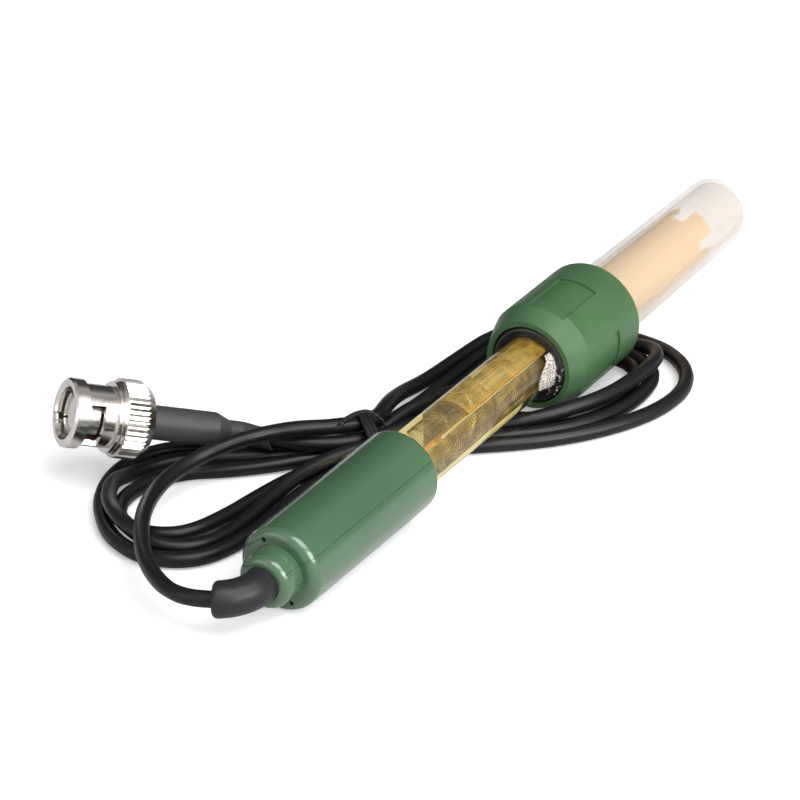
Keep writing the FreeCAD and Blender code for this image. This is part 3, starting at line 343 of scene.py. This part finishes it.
class ELECTRODE_OT_cable(bpy.types.Operator):
    """Lay the coaxial cable along its route, from the handle to the plug"""
    bl_idname = "electrode.cable"
    bl_label = "Cable"

    def execute(self, context):
        sizes = context.scene.electrode_sizes
        colours = context.scene.electrode_colours
        line = bpy.data.curves.new("cable_line", "CURVE")
        line.dimensions = "3D"
        line.bevel_depth = sizes.cable_diameter / 2
        line.bevel_resolution = 4
        line.resolution_u = 10
        line.use_fill_caps = True
        route = line.splines.new("NURBS")
        route.points.add(len(CABLE_ROUTE) - 1)
        for point, (across, side, up) in zip(route.points, CABLE_ROUTE):
            point.co = (across + ROW_SHIFT, side, up, 1.0)
        route.order_u = 3
        route.use_endpoint_u = True
        cable = bpy.data.objects.new("coaxial_cable", line)
        context.scene.collection.objects.link(cable)
        finish = Finish("black_jacket", colours.jacket, 0.36, Specular_IOR_Level=0.3)
        finish.grain(260.0, 0.00006, 0.5)
        finish.grain(2600.0, 0.00001, 0.4)
        patches = finish.noise(finish.coordinates, 90.0, 3.0)
        finish.feed("Roughness", finish.remap(patches, 0.3, 0.7, 0.28, 0.42))
        line.materials.append(finish.material)
        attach(cable, "electrode")
        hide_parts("cable")
        return {"FINISHED"}


class ELECTRODE_OT_winding(bpy.types.Operator):
    """Wind the fine silver wire of the reference round the stem"""
    bl_idname = "electrode.winding"
    bl_label = "Reference winding"

    def execute(self, context):
        sizes = context.scene.electrode_sizes
        # Stations of the first and the last turn
        begin, end = 0.008, 0.100
        steps_per_turn = 20
        deselect()
        bpy.ops.mesh.primitive_circle_add(vertices=6, radius=sizes.wire_diameter / 2,
                                          location=(sizes.winding_radius, 0, 0),
                                          rotation=(math.pi / 2, 0, 0))
        wire = context.object
        wire.name = "reference_wire"
        apply_place()
        screw = wire.modifiers.new("turns", "SCREW")
        screw.axis = "Z"
        screw.angle = math.tau
        screw.screw_offset = sizes.wire_pitch
        screw.iterations = int((end - begin) / sizes.wire_pitch)
        screw.steps = screw.render_steps = steps_per_turn
        apply_modifiers(wire)
        close_ends()
        settle(wire, ELECTRODE @ Matrix.Translation((begin, 0, 0)) @ LAY_DOWN)
        tidy_normals(wire)
        bpy.ops.object.shade_smooth()
        finish = Finish("silver_wire", (0.42, 0.36, 0.26), 0.5, 0.2)
        tarnish = finish.noise(finish.coordinates, 420.0, 4.0)
        finish.feed("Base Color", finish.colour_mix(finish.remap(tarnish, 0.42, 0.62),
                                                    (0.14, 0.09, 0.04), (0.50, 0.38, 0.22)))
        wire.data.materials.append(finish.material)
        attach(wire, "electrode")
        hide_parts("reference_winding")
        return {"FINISHED"}


class ELECTRODE_OT_thread(bpy.types.Operator):
    """Raise the screw thread on the neck of the storage bottle"""
    bl_idname = "electrode.thread"
    bl_label = "Bottle thread"

    def execute(self, context):
        sizes = context.scene.electrode_sizes
        # Radius of the neck, and the station of the thread's first turn
        neck, begin = 0.00815, 0.0595
        turns, steps_per_turn = 3, 72
        deselect()
        bpy.ops.mesh.primitive_circle_add(vertices=4, radius=sizes.thread_height * 1.7,
                                          location=(neck, 0, 0),
                                          rotation=(math.pi / 2, 0, 0))
        ridge = context.object
        ridge.name = "neck_thread"
        ridge.scale.x = 0.6
        apply_place()
        screw = ridge.modifiers.new("turns", "SCREW")
        screw.axis = "Z"
        screw.angle = math.tau
        screw.screw_offset = sizes.thread_pitch
        screw.iterations = turns
        screw.steps = screw.render_steps = steps_per_turn
        apply_modifiers(ridge)
        close_ends()
        settle(ridge, ELECTRODE @ Matrix.Translation((begin, 0, 0)) @ LAY_DOWN)
        tidy_normals(ridge)
        bpy.ops.object.shade_smooth_by_angle(angle=math.radians(40))
        ridge.data.materials.append(bpy.data.materials["frosted_bottle"])
        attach(ridge, "storage_bottle")
        return {"FINISHED"}


class ELECTRODE_OT_crust(bpy.types.Operator):
    """Let dried salt gather between the body tube and the gasket"""
    bl_idname = "electrode.crust"
    bl_label = "Salt crust"

    def execute(self, context):
        sizes = context.scene.electrode_sizes
        colours = context.scene.electrode_colours
        # Just outside the body tube's wall
        tube = 0.00602
        thick = sizes.crust_height
        # Angle that the salt covers, the part of it where it thins out, in degrees, and its length
        sweep, fade, tongue = 64.0, 12.0, 0.0066
        deselect()
        bpy.ops.mesh.primitive_circle_add(vertices=28, radius=0.5, location=(tube + thick / 2, 0, 0),
                                          rotation=(math.pi / 2, 0, 0))
        crust = context.object
        crust.name = "salt_crust"
        crust.scale = (thick, tongue, 1.0)
        apply_place()
        bpy.ops.object.mode_set(mode="EDIT")
        bpy.ops.mesh.select_all(action="SELECT")
        bpy.ops.mesh.spin(steps=40, angle=math.radians(sweep), center=(0, 0, 0), axis=(0, 0, 1))
        bpy.ops.object.mode_set(mode="OBJECT")
        close_ends()
        tidy_normals(crust)
        for corner in crust.data.vertices:
            point = corner.co
            turn = math.degrees(math.atan2(point.y, point.x)) % 360.0
            turn = sweep - min(turn, 360.0 - turn)
            reach = 0.25 + 0.75 * math.sin(math.radians(min(90.0, turn * 2.2))) ** 2
            reach *= 1.0 - 0.5 * max(0.0, turn - (sweep - fade)) / fade
            along = (tongue / 2 - point.z) / tongue
            out = math.hypot(point.x, point.y)
            rise = 2 * max(0.0, out - tube - thick / 2)
            rise *= (1.0 - 0.7 * along) * (0.35 + 0.65 * math.sin(math.pi * min(1.0, turn / sweep)))
            far = (tube + rise) / out
            point.x, point.y, point.z = point.x * far, point.y * far, -tongue * along * reach
        grain = bpy.data.textures.new("salt_grain", "CLOUDS")
        grain.noise_scale = 0.0007
        grain.noise_depth = 3
        lumps = bpy.data.textures.new("salt_lumps", "CLOUDS")
        lumps.noise_scale = 0.0026
        subdivide = crust.modifiers.new("finer", "SUBSURF")
        subdivide.levels = subdivide.render_levels = 2
        for texture, amount in ((lumps, 0.0007), (grain, 0.0004)):
            swell = crust.modifiers.new(texture.name, "DISPLACE")
            swell.texture = texture
            swell.texture_coords = "LOCAL"
            swell.strength = amount
            swell.mid_level = 0.5
        apply_modifiers(crust)
        for corner in crust.data.vertices:
            out = math.hypot(corner.co.x, corner.co.y)
            if out < tube:
                corner.co.x, corner.co.y = corner.co.x * tube / out, corner.co.y * tube / out
            corner.co.z = min(corner.co.z, 0.0)
        place = (ELECTRODE @ Matrix.Translation((GASKET_FACE, 0, 0))
                 @ Matrix.Rotation(math.radians(CRUST_TURN), 4, "X") @ LAY_DOWN)
        settle(crust, place)
        tidy_normals(crust)
        finish = Finish("salt", colours.salt, 0.75)
        flecks = finish.noise(finish.coordinates, 2400.0, 4.0)
        finish.feed("Base Color", finish.colour_mix(finish.remap(flecks, 0.40, 0.60),
                                                    (0.16, 0.13, 0.10), colours.salt))
        finish.bump(flecks, 0.00018, 0.9)
        crust.data.materials.append(finish.material)
        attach(crust, "seal")
        return {"FINISHED"}


class ELECTRODE_OT_tie_ends(bpy.types.Operator):
    """Bend the tie's two wires in a low loop over the strands"""
    bl_idname = "electrode.tie_ends"
    bl_label = "Tie ends"

    def execute(self, context):
        sizes = context.scene.electrode_sizes
        heading = math.radians(-34.8)
        place = (Matrix.Translation((ROW_SHIFT + 0.0143, 0.0173, 0))
                 @ Matrix.Rotation(heading + math.pi / 2, 4, "Z"))
        path = [(0.0002, 0.0042, 0.0092), (0.0002, 0.0034, 0.0101), (0.0001, 0.0016, 0.01095),
                (0.0, -0.0006, 0.0112), (-0.0003, -0.0021, 0.01085), (-0.0008, -0.0033, 0.0098),
                (-0.0012, -0.0042, 0.0086), (-0.0014, -0.0046, 0.0078)]
        finish = Finish("tie_black", (0.016, 0.016, 0.017), 0.35)
        local = finish.in_frame(place)
        # Radians of the ripple in each metre along the belt's wires
        turn_rate = 7600.0
        turns = finish.math("SINE", finish.math("MULTIPLY", finish.split(local)["Y"], turn_rate))
        finish.bump(turns, 0.00022, 0.9)
        finish.grain(900.0, 0.00003, 0.5)
        dress("cable_tie", finish)
        for name, aside in (("tie_wire_near", -0.00031), ("tie_wire_far", 0.00031)):
            deselect()
            bpy.ops.curve.primitive_nurbs_path_add(radius=0.001, location=(0, 0, 0))
            wire = context.object
            wire.name = name
            line = wire.data
            run = line.splines[0]
            run.points.add(len(path) - len(run.points))
            for point, (across, along, up) in zip(run.points, path):
                point.co = (across + aside, along, up, 1.0)
                point.radius = 1.0
            run.order_u = 4
            run.use_endpoint_u = True
            line.resolution_u = 6
            line.bevel_depth = sizes.tie_wire / 2
            line.bevel_resolution = 3
            line.use_fill_caps = True
            bpy.ops.object.convert(target="MESH")
            wire = context.object
            settle(wire, place)
            tidy_normals(wire)
            bpy.ops.object.shade_smooth()
            wire.data.materials.append(finish.material)
            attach(wire, "electrode")
        return {"FINISHED"}


class ELECTRODE_OT_mouldings(bpy.types.Operator):
    """Finish the green handle and the green screw cap"""
    bl_idname = "electrode.mouldings"
    bl_label = "Green mouldings"

    def execute(self, context):
        colours = context.scene.electrode_colours
        handle = Finish("green_moulding", colours.moulding, 0.20, Coat_Weight=0.5,
                        Coat_Roughness=0.10, Specular_IOR_Level=0.7)
        local = handle.in_frame(ELECTRODE)
        line_width = 0.014
        lines = [handle.line_at(handle.around(local), angle, line_width) for angle in PARTING_LINES]
        seam = handle.math("MAXIMUM", *lines)
        cloud = handle.noise(local, 55.0, 3.0)
        shade = handle.colour_mix(handle.remap(cloud, 0.3, 0.7), toned(colours.moulding, 0.92),
                                  toned(colours.moulding, 1.10))
        handle.feed("Base Color", handle.colour_mix(seam, shade, toned(colours.moulding, 0.55)))
        handle.bump(handle.noise(local, 1400.0, 2.0), 0.00001, 0.35)
        handle.bump(handle.math("MULTIPLY", seam, -1.0), 0.00008, 0.8)
        dress("handle", handle)
        cap = Finish("green_cap", colours.cap, 0.42, Specular_IOR_Level=0.45)
        local = cap.in_frame(ELECTRODE)
        scuffs = cap.noise(local, 160.0, 5.0)
        cap.feed("Base Color", cap.colour_mix(cap.remap(scuffs, 0.35, 0.75),
                                              toned(colours.cap, 0.94), toned(colours.cap, 1.14)))
        cap.feed("Roughness", cap.remap(scuffs, 0.35, 0.7, 0.34, 0.46))
        cap.bump(cap.noise(local, 2200.0, 2.0), 0.00002, 0.5)
        dress("bottle_cap", cap)
        return {"FINISHED"}


def finish_tube(colours):
    """Amber tube, clear up to the gasket and deep yellow past it."""
    tube = Finish("amber_tube", colours.amber, 0.0, Transmission_Weight=1.0, IOR=1.5)
    local = tube.in_frame(ELECTRODE)
    wet = tube.remap(tube.split(local)["X"], WET_START, WET_END)
    # Pale lengthwise streaks in the amber tint, from noise stretched along the tube
    streak_noise = tube.noise(local, 900.0, 2.0, stretch=(0.012, 1.0, 1.0))
    streaks = tube.colour_mix(tube.remap(streak_noise, 0.38, 0.62), colours.amber, (1.0, 0.98, 0.84))
    tube.feed("Base Color", tube.colour_mix(wet, streaks, (0.90, 0.58, 0.07)))
    tube.feed("Transmission Weight", tube.remap(wet, 0.0, 1.0, 1.0, 0.1))
    tube.feed("Roughness", tube.remap(wet, 0.0, 1.0, 0.0, 0.5))
    tube.lit_through(0.9)
    dress("body_tube", tube)


def finish_stem():
    """Glass stem, seen only by its faint streaks."""
    stem = Finish("clear_glass", (0.85, 0.66, 0.28), 0.05, Alpha=0.16)
    streaks = stem.noise(stem.in_frame(ELECTRODE), 700.0, 2.0, stretch=(0.02, 1.0, 1.0))
    stem.feed("Alpha", stem.remap(streaks, 0.35, 0.65, 0.0, 0.10))
    stem.bump(streaks, 0.00002, 0.2)
    dress("sensor_stem", stem)


def finish_film():
    """Film in the tube's wall, a dark border round a faint tint."""
    film = Finish("clear_label", (0.99, 0.90, 0.62), 0.12, Alpha=0.18)
    local = film.in_frame(ELECTRODE)
    parts = film.split(local)
    station = parts["X"]
    angle = film.around(local)
    left, right = FILM_EDGES
    left_width, right_width = 0.07, 0.045
    ends = [film.remap(film.math("ABSOLUTE", film.math("SUBTRACT", station, end)), 0.0006, 0.0004)
            for end in (FILM_START, FILM_END)]
    near_end = film.math("MAXIMUM", *ends)
    near_side = film.math("MAXIMUM", film.line_at(angle, left, left_width),
                          film.line_at(angle, right, right_width))
    inside = film.remap(angle, math.radians(right + 2.0), math.radians(right))
    border = film.math("MULTIPLY", film.math("MAXIMUM", near_end, near_side), inside)
    fade = film.noise(local, 500.0, 3.0)
    film.feed("Base Color", film.colour_mix(border, (0.90, 0.62, 0.16), (0.11, 0.045, 0.012)))
    worn = film.math("MULTIPLY", border, film.remap(fade, 0.25, 0.45, 0.7, 0.95))
    tint = film.math("MULTIPLY", inside, film.remap(fade, 0.35, 0.65, 0.04, 0.13))
    film.feed("Alpha", film.math("MAXIMUM", worn, tint))
    dress("label_film", film)


def finish_bottle(colours):
    """Frosted bottle that shows the tube through its wall."""
    bottle = Finish("frosted_bottle", colours.bottle, 0.50, Specular_IOR_Level=0.2, Alpha=0.34)
    local = bottle.in_frame(ELECTRODE)
    cloudy = bottle.noise(local, 90.0, 3.0)
    bottle.feed("Roughness", bottle.remap(cloudy, 0.3, 0.7, 0.46, 0.56))
    dress("bottle", bottle)


class ELECTRODE_OT_clear_parts(bpy.types.Operator):
    """Finish the amber tube, its film and stem, and the frosted bottle"""
    bl_idname = "electrode.clear_parts"
    bl_label = "Clear parts"

    def execute(self, context):
        colours = context.scene.electrode_colours
        finish_tube(colours)
        finish_stem()
        finish_film()
        finish_bottle(colours)
        return {"FINISHED"}


def fill_with_gel(radius):
    """Clear filling of the body tube, slightly domed in at both ends."""
    near, far, dome = -0.0008, 0.1078, 0.0004
    deselect()
    bpy.ops.mesh.primitive_cylinder_add(vertices=72, radius=radius, depth=far - near,
                                        end_fill_type="NGON", location=(0, 0, (near + far) / 2))
    gel = bpy.context.object
    gel.name = "reference_gel"
    apply_place()
    for height, lift in ((near, dome), (far, -dome)):
        bpy.ops.object.mode_set(mode="EDIT")
        bpy.ops.mesh.select_all(action="DESELECT")
        bpy.ops.object.mode_set(mode="OBJECT")
        for face in gel.data.polygons:
            face.select = abs(face.center.z - height) < 1e-6 and abs(face.normal.z) > 0.9
        bpy.ops.object.mode_set(mode="EDIT")
        bpy.ops.mesh.select_mode(type="FACE")
        bpy.ops.mesh.inset(thickness=radius * 0.18, depth=0)
        bpy.ops.transform.translate(value=(0, 0, lift))
        bpy.ops.object.mode_set(mode="OBJECT")
    settle(gel, ELECTRODE @ LAY_DOWN)
    tidy_normals(gel)
    bpy.ops.object.shade_smooth_by_angle(angle=math.radians(50))
    clear = Finish("clear_gel", (1.0, 0.99, 0.94), 0.0, Transmission_Weight=1.0, IOR=1.33)
    cords = clear.noise(clear.in_frame(ELECTRODE), 700.0, 2.0, stretch=(0.015, 1.0, 1.0))
    clear.feed("Base Color", clear.colour_mix(clear.remap(cords, 0.3, 0.7),
                                              (0.99, 0.92, 0.62), (1.0, 1.0, 0.97)))
    clear.lit_through(0.95)
    gel.data.materials.append(clear.material)
    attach(gel, "electrode")


def run_lead():
    """Thin wire that runs beside the winding, towards the camera's side."""
    # Radius of the wire, its distance from the axis, its start, and its runs in metres
    wire, aside, begin = 0.0002, 0.00325, 0.010
    steps, stride, sway_width = 22, 0.004, 0.00006
    deselect()
    bpy.ops.mesh.primitive_circle_add(vertices=8, radius=wire, fill_type="NGON",
                                      location=(0, aside, begin))
    lead = bpy.context.object
    lead.name = "reference_lead"
    apply_place()
    bpy.ops.object.mode_set(mode="EDIT")
    bpy.ops.mesh.select_all(action="SELECT")
    for step in range(steps):
        sway = sway_width * math.sin(step * 1.7)
        bpy.ops.mesh.extrude_region_move(TRANSFORM_OT_translate={"value": (sway, 0, stride)})
    bpy.ops.object.mode_set(mode="OBJECT")
    settle(lead, ELECTRODE @ Matrix.Rotation(math.radians(135.0), 4, "X") @ LAY_DOWN)
    tidy_normals(lead)
    bpy.ops.object.shade_smooth_by_angle(angle=math.radians(60))
    lead.data.materials.append(bpy.data.materials["silver_wire"])
    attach(lead, "electrode")


class ELECTRODE_OT_gel(bpy.types.Operator):
    """Fill the body tube with clear gel, and run the reference's lead along the winding"""
    bl_idname = "electrode.gel"
    bl_label = "Gel and lead"

    def execute(self, context):
        fill_with_gel(context.scene.electrode_sizes.gel_radius)
        run_lead()
        return {"FINISHED"}


class ELECTRODE_OT_inner_parts(bpy.types.Operator):
    """Finish the stem's pin and lead, the junction and the potting"""
    bl_idname = "electrode.inner_parts"
    bl_label = "Inner parts"

    def execute(self, context):
        platinum = Finish("platinum", (0.76, 0.74, 0.70), 0.18, 1.0)
        platinum.grain(4000.0, 0.000005, 0.5)
        dress("platinum_pin", platinum)
        copper = Finish("copper_lead", (0.70, 0.36, 0.20), 0.32, 1.0)
        copper.grain(2500.0, 0.00001, 0.5)
        dress("sensor_lead", copper)
        ceramic = Finish("white_ceramic", (0.80, 0.77, 0.70), 0.8)
        pores = ceramic.noise(ceramic.coordinates, 3000.0, 4.0)
        ceramic.feed("Base Color", ceramic.colour_mix(ceramic.remap(pores, 0.4, 0.6),
                                                      (0.66, 0.62, 0.54), (0.84, 0.81, 0.74)))
        ceramic.bump(pores, 0.00005, 0.7)
        dress("porous_junction", ceramic)
        resin = Finish("potting", (0.05, 0.045, 0.035), 0.35)
        resin.grain(500.0, 0.00008, 0.4)
        dress("potting_plug", resin)
        return {"FINISHED"}


class ELECTRODE_OT_rubber(bpy.types.Operator):
    """Finish the boots, the sleeve and the gasket"""
    bl_idname = "electrode.rubber"
    bl_label = "Rubber parts"

    def execute(self, context):
        colours = context.scene.electrode_colours
        boot = Finish("black_rubber", colours.rubber, 0.38, Specular_IOR_Level=0.3)
        wrinkles = boot.noise(boot.coordinates, 420.0, 3.0, stretch=(1.0, 0.45, 1.0))
        boot.bump(wrinkles, 0.00035, 0.55)
        boot.grain(2600.0, 0.00002, 0.4)
        dress("cable_boot", boot)
        shrunk = Finish("matt_sleeve", (0.040, 0.039, 0.043), 0.55)
        shrunk.grain(700.0, 0.00012, 0.4, detail=3.0)
        shrunk.grain(3600.0, 0.00002, 0.5)
        dress("plug_boot", shrunk)
        dress("plug_sleeve", shrunk)
        gasket = Finish("black_gasket", (0.012, 0.012, 0.012), 0.30)
        local = gasket.in_frame(ELECTRODE)
        parts = gasket.split(local)
        specks = gasket.noise(local, 1500.0, 4.0)
        aside = gasket.math("ABSOLUTE", gasket.math("SUBTRACT", gasket.around(local), GASKET_SPECKS))
        side = gasket.remap(aside, 0.75, 0.35)
        front = gasket.remap(parts["X"], 0.0512, 0.0500)
        where = gasket.math("MULTIPLY", side, front)
        salt = gasket.math("MULTIPLY", where, gasket.remap(specks, 0.56, 0.62))
        gasket.feed("Base Color", gasket.colour_mix(salt, (0.012, 0.012, 0.012), (0.62, 0.60, 0.56)))
        gasket.feed("Roughness", gasket.remap(salt, 0.0, 1.0, 0.28, 0.8))
        gasket.bump(specks, 0.00004, 0.4)
        dress("bottle_gasket", gasket)
        return {"FINISHED"}


def make_collar(white):
    """White collar round the pin, just behind the plug's mouth."""
    # Back and front stations, radii of the bore and the outside, and the rounding of its edges
    root, face, bore, outside, edge = -0.0064, -0.0020, 0.00085, 0.0035, 0.0003
    deselect()
    bpy.ops.mesh.primitive_circle_add(vertices=64, radius=bore, location=(0, 0, root))
    collar = bpy.context.object
    collar.name = "insulator_collar"
    apply_place()
    bpy.ops.object.mode_set(mode="EDIT")
    bpy.ops.mesh.select_all(action="SELECT")
    before = (root, bore)
    for station, radius in ((root, outside), (face - edge, outside), (face, outside - edge),
                            (face, 0.0015), (face - edge, bore), (root, bore)):
        bpy.ops.mesh.extrude_edges_move(TRANSFORM_OT_translate={"value": (0, 0, station - before[0])})
        factor = radius / before[1]
        bpy.ops.transform.resize(value=(factor, factor, 1), center_override=(0, 0, station))
        before = (station, radius)
    bpy.ops.object.mode_set(mode="OBJECT")
    settle(collar, PLUG @ LAY_DOWN)
    tidy_normals(collar)
    bpy.ops.object.shade_smooth_by_angle(angle=math.radians(35))
    collar.data.materials.append(white.material)
    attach(collar, "electrode")


class ELECTRODE_OT_plug(bpy.types.Operator):
    """Finish the bayonet plug: bright nickel, white insulator and gilded pin"""
    bl_idname = "electrode.plug"
    bl_label = "Bayonet plug"

    def execute(self, context):
        colours = context.scene.electrode_colours
        nickel = Finish("nickel", colours.nickel, 0.18, 1.0)
        wear = nickel.noise(nickel.coordinates, 500.0, 4.0)
        nickel.feed("Roughness", nickel.remap(wear, 0.3, 0.7, 0.14, 0.24))
        nickel.grain(900.0, 0.00001, 0.3)
        for node in ("coupling_ring", "plug_body", "thrust_washer", "crimp_ferrule"):
            dress(node, nickel)
        steel = Finish("spring_steel", (0.45, 0.45, 0.45), 0.28, 1.0)
        steel.grain(1800.0, 0.00001, 0.4)
        dress("spring_washer", steel)
        dress("retaining_clip", steel)
        white = Finish("white_fluoropolymer", (0.84, 0.82, 0.78), 0.45, Subsurface_Weight=0.1,
                       Subsurface_Scale=0.001)
        white.grain(2000.0, 0.00002, 0.5)
        dress("plug_insulator", white)
        make_collar(white)
        gold = Finish("gilded_pin", (0.86, 0.62, 0.26), 0.18, 1.0)
        gold.grain(3000.0, 0.00001, 0.4)
        dress("plug_pin", gold)
        red = Finish("red_gasket", (0.20, 0.035, 0.02), 0.55)
        red.grain(2400.0, 0.00003, 0.5, detail=3.0)
        dress("plug_gasket", red)
        return {"FINISHED"}


def lay_floor():
    """Sheet of white paper just under the object."""
    side, gap = 6.0, 0.00012
    deselect()
    bpy.ops.mesh.primitive_grid_add(x_subdivisions=4, y_subdivisions=4, size=side,
                                    location=(0, 0, -gap))
    floor = bpy.context.object
    floor.name = "studio_floor"
    apply_place()
    white = (0.90, 0.90, 0.90)
    paper = Finish("studio_paper", white, 0.85)
    paper.feed("Roughness", paper.remap(paper.noise(paper.coordinates, 30.0), 0.3, 0.7, 0.8, 0.9))
    # Glossy rays see the paper grey: painted shade, a darker reflection of the floor than the white
    # paper gives
    path = paper.add("ShaderNodeLightPath")
    paper.feed("Base Color", paper.colour_mix(path.outputs["Is Glossy Ray"], white,
                                              (0.66, 0.64, 0.65)))
    seen = paper.math("MAXIMUM", path.outputs["Is Camera Ray"], path.outputs["Is Transmission Ray"])
    # The glow lifts the paper to white for the camera, and more so far from the object
    near, far, near_glow, far_glow = 0.5, 1.3, 0.36, 1.0
    away = paper.add("ShaderNodeVectorMath", operation="LENGTH")
    paper.links.new(paper.coordinates, away.inputs[0])
    level = paper.remap(away.outputs["Value"], near, far, near_glow, far_glow)
    glow = paper.add("ShaderNodeEmission")
    glow.inputs["Color"].default_value = (1, 1, 1, 1)
    paper.links.new(paper.math("MULTIPLY", seen, level), glow.inputs["Strength"])
    both = paper.add("ShaderNodeAddShader")
    paper.links.new(paper.shader.outputs[0], both.inputs[0])
    paper.links.new(glow.outputs[0], both.inputs[1])
    output = next(node for node in paper.nodes if node.type == "OUTPUT_MATERIAL")
    paper.links.new(both.outputs[0], output.inputs["Surface"])
    floor.data.materials.append(paper.material)


def paint_room(scene):
    """World that is white to the camera, pale for light, and graded for reflections."""
    world = bpy.data.worlds.new("studio")
    scene.world = world
    world.use_nodes = True
    nodes, links = world.node_tree.nodes, world.node_tree.links
    sky = nodes["Background"]
    sky.inputs["Color"].default_value = (0.92, 0.95, 1.0, 1.0)
    sky.inputs["Strength"].default_value = 0.30
    card = nodes.new("ShaderNodeBackground")
    card.inputs["Color"].default_value = (1, 1, 1, 1)
    card.inputs["Strength"].default_value = 1.0
    room = nodes.new("ShaderNodeBackground")
    # Reflections see a dark room on the far side, and a bright one in front
    lean = nodes.new("ShaderNodeVectorMath")
    lean.operation = "DOT_PRODUCT"
    lean.inputs[1].default_value = (-0.430, -0.255, 0.040)
    links.new(nodes.new("ShaderNodeTexCoord").outputs["Generated"], lean.inputs[0])
    middle = nodes.new("ShaderNodeMath")
    middle.inputs[1].default_value = 0.5
    links.new(lean.outputs["Value"], middle.inputs[0])
    ramp = nodes.new("ShaderNodeValToRGB")
    links.new(middle.outputs[0], ramp.inputs["Fac"])
    stops = ramp.color_ramp.elements
    stops[0].position, stops[0].color = 0.05, (0.05, 0.05, 0.053, 1)
    stops[1].position, stops[1].color = 0.86, (0.95, 0.92, 0.92, 1)
    for position, level in ((0.16, 0.08), (0.27, 0.42), (0.38, 0.26), (0.56, 0.60), (0.68, 0.90)):
        stop = stops.new(position)
        stop.color = (level, level * 0.98, level * 0.98, 1)
    links.new(ramp.outputs["Color"], room.inputs["Color"])
    path = nodes.new("ShaderNodeLightPath")
    clear = nodes.new("ShaderNodeMath")
    clear.operation = "MAXIMUM"
    links.new(path.outputs["Is Camera Ray"], clear.inputs[0])
    links.new(path.outputs["Is Transmission Ray"], clear.inputs[1])
    gloss = nodes.new("ShaderNodeMixShader")
    links.new(path.outputs["Is Glossy Ray"], gloss.inputs["Fac"])
    links.new(sky.outputs[0], gloss.inputs[1])
    links.new(room.outputs[0], gloss.inputs[2])
    mixed = nodes.new("ShaderNodeMixShader")
    links.new(clear.outputs[0], mixed.inputs["Fac"])
    links.new(gloss.outputs[0], mixed.inputs[1])
    links.new(card.outputs[0], mixed.inputs[2])
    links.new(mixed.outputs[0], nodes["World Output"].inputs["Surface"])


def hang_lamps(scene):
    """Three soft boxes: name, place, aim, size in metres and power in watts."""
    for name, spot, target, size, power in (
            ("overhead_box", (-0.20, -0.45, 0.90), (0, 0, 0), (0.9, 0.6), 8.0),
            ("left_box", (-0.95, 0.55, 0.40), (0, 0, 0.01), (0.7, 0.5), 1.0),
            ("right_box", (-0.25, -0.95, 0.45), (0, 0, 0.01), (0.8, 0.5), 9.5)):
        lamp = bpy.data.lights.new(name, "AREA")
        lamp.shape = "RECTANGLE"
        lamp.size, lamp.size_y = size
        lamp.energy = power
        holder = bpy.data.objects.new(name, lamp)
        holder.location = spot
        aim = Vector(target) - Vector(spot)
        holder.rotation_euler = aim.to_track_quat("-Z", "Y").to_euler()
        scene.collection.objects.link(holder)


def set_camera(scene):
    """Camera at the photograph's viewing angle."""
    lens = bpy.data.cameras.new("product_camera")
    lens.lens = 157.5
    lens.sensor_width = 36.0
    lens.clip_start = 0.01
    camera = bpy.data.objects.new("product_camera", lens)
    # The camera's axes and its place in metres, solved from the outlines in the photograph
    right = Vector((0.51099, -0.8595867, 0.0))
    up = Vector((0.380421, 0.2261451, 0.8967376))
    back = Vector((-0.7708237, -0.4582239, 0.4425627))
    stand = Matrix((right, up, back)).transposed().to_4x4()
    place = (-0.5453917, -0.29827, 0.31228)
    camera.matrix_world = Matrix.Translation(place) @ stand
    scene.collection.objects.link(camera)
    scene.camera = camera


class ELECTRODE_OT_stage(bpy.types.Operator):
    """Set the pale floor, the studio lamps, the world and the camera"""
    bl_idname = "electrode.stage"
    bl_label = "Stage"

    def execute(self, context):
        lay_floor()
        paint_room(context.scene)
        hang_lamps(context.scene)
        set_camera(context.scene)
        context.scene.view_settings.view_transform = "Standard"
        return {"FINISHED"}


STEPS = (ELECTRODE_OT_stage, ELECTRODE_OT_cable, ELECTRODE_OT_mouldings,
         ELECTRODE_OT_clear_parts, ELECTRODE_OT_inner_parts, ELECTRODE_OT_rubber,
         ELECTRODE_OT_plug, ELECTRODE_OT_winding, ELECTRODE_OT_gel, ELECTRODE_OT_thread,
         ELECTRODE_OT_crust, ELECTRODE_OT_tie_ends)


class ELECTRODE_PT_panel(bpy.types.Panel):
    """Steps, sizes and colours of the electrode"""
    bl_label = "Redox electrode"
    bl_idname = "ELECTRODE_PT_panel"
    bl_space_type = "VIEW_3D"
    bl_region_type = "UI"
    bl_category = "Electrode"

    def draw(self, context):
        for step in STEPS:
            self.layout.operator(step.bl_idname)
        for group in (context.scene.electrode_sizes, context.scene.electrode_colours):
            for name in group.bl_rna.properties.keys():
                if name not in ("rna_type", "name"):
                    self.layout.prop(group, name)


CLASSES = (ElectrodeSizes, ElectrodeColours, *STEPS, ELECTRODE_PT_panel)


def register():
    """Add the operators, the panel and the two groups of values."""
    for item in CLASSES:
        bpy.utils.register_class(item)
    bpy.types.Scene.electrode_sizes = bpy.props.PointerProperty(type=ElectrodeSizes)
    bpy.types.Scene.electrode_colours = bpy.props.PointerProperty(type=ElectrodeColours)


def unregister():
    """Take them away again."""
    del bpy.types.Scene.electrode_colours
    del bpy.types.Scene.electrode_sizes
    for item in reversed(CLASSES):
        bpy.utils.unregister_class(item)


def main():
    register()
    for step in STEPS:
        group, name = step.bl_idname.split(".")
        getattr(getattr(bpy.ops, group), name)()


if __name__ == "__main__":
    main()
